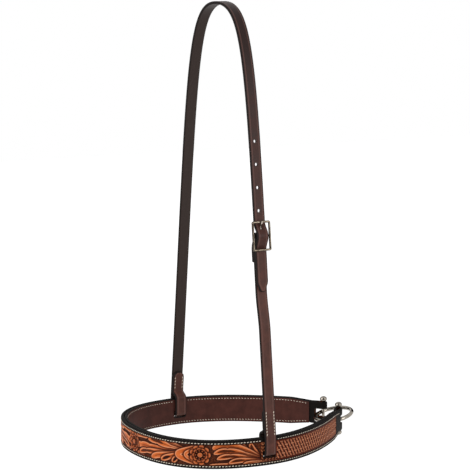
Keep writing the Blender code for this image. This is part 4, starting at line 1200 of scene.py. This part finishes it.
# dark cards that only reflections see, so that metal and black edges read against the white
cards = {"leftCard": (40, 5, 1.2, 0.3, 1.6), "rightCard": (86, 0, 1.3, 0.3, 1.6),
         "topCard": (60, 55, 1.2, 1.2, 0.3), "backCard": (220, 3, 1.3, 2.3, 1.0),
         "sideCard": (288, 3, 1.4, 1.1, 1.0)}


def makeCamera():
    data = bpy.data.cameras.new("photoCamera")
    data.lens, data.sensor_width = view["lens"], view["sensor"]
    camera = bpy.data.objects.new("photoCamera", data)
    camera.location, camera.rotation_euler = aimed(view["azimuth"], view["elevation"], view["distance"])
    bpy.context.scene.collection.objects.link(camera)
    bpy.context.scene.camera = camera


def seenWhite(tree):
    # 1 for rays from the camera, and for those that metal and glass send out
    rays = addNode(tree, "LightPath").node.outputs
    seen = rays["Is Camera Ray"]
    for kind in ("Is Glossy Ray", "Is Transmission Ray"):
        seen = addNode(tree, "Math", {0: seen, 1: rays[kind]}, operation="MAXIMUM")
    return seen


def makeFloor():
    floor = addPrimitive(bpy.ops.mesh.primitive_plane_add, "studioFloor", size=studio["floorSize"],
                         location=(0, 0, cadBox[0][2] - studio["floorDrop"]))
    material, tree, shader, place = newMaterial("palePaperFloor")
    away = addNode(tree, "VectorMath", {0: place}, "Value", operation="LENGTH")
    glow = addNode(tree, "MapRange", {"Value": away, "From Min": studio["glowFrom"],
                                      "From Max": studio["glowTo"], "To Min": studio["glowNear"],
                                      "To Max": studio["glowFar"]})
    glow = addNode(tree, "Math", {0: seenWhite(tree), 1: glow}, operation="MULTIPLY")
    setInputs(shader, {"Base Color": linear(studio["paper"]), "Roughness": 0.9,
                       "Emission Color": (1, 1, 1, 1), "Emission Strength": glow})
    floor.data.materials.append(material)


def makeWorld():
    world = bpy.data.worlds.new("studio")
    bpy.context.scene.world = world
    world.use_nodes = True
    strength = addNode(world.node_tree, "MapRange", {"Value": seenWhite(world.node_tree),
                                                     "To Min": studio["ambient"], "To Max": 1.0})
    setInputs(world.node_tree.nodes["Background"], {"Color": (1, 1, 1, 1), "Strength": strength})


def aimed(azimuth, elevation, distance):
    # a place round the object, and the turn that faces it
    azimuth, elevation = math.radians(azimuth), math.radians(elevation)
    away = Vector((math.sin(azimuth) * math.cos(elevation), -math.cos(azimuth) * math.cos(elevation),
                   math.sin(elevation)))
    return Vector(view["target"]) + away * distance, (-away).to_track_quat("-Z", "Y").to_euler()


def makeSoftBox(name, azimuth, elevation, distance, size, power):
    data = bpy.data.lights.new(name, "AREA")
    data.size, data.energy = size, power
    light = bpy.data.objects.new(name, data)
    light.location, light.rotation_euler = aimed(azimuth, elevation, distance)
    bpy.context.scene.collection.objects.link(light)


def makeCard(name, azimuth, elevation, distance, width, height):
    place, turn = aimed(azimuth, elevation, distance)
    card = addPrimitive(bpy.ops.mesh.primitive_plane_add, name, size=1, location=place, rotation=turn,
                        scale=(width, height, 1))
    material, _, shader, _ = newMaterial(name + "Felt")
    setInputs(shader, {"Base Color": linear(studio["felt"]), "Roughness": 1.0})
    card.data.materials.append(material)
    card.visible_camera = card.visible_diffuse = card.visible_shadow = card.visible_transmission = False


makeCamera()
makeFloor()
makeWorld()
for name, values in softBoxes.items():
    makeSoftBox(name, *values)
for name, values in cards.items():
    makeCard(name, *values)
bpy.context.scene.view_settings.view_transform = "Standard"
print("studio done")

deselectAll()
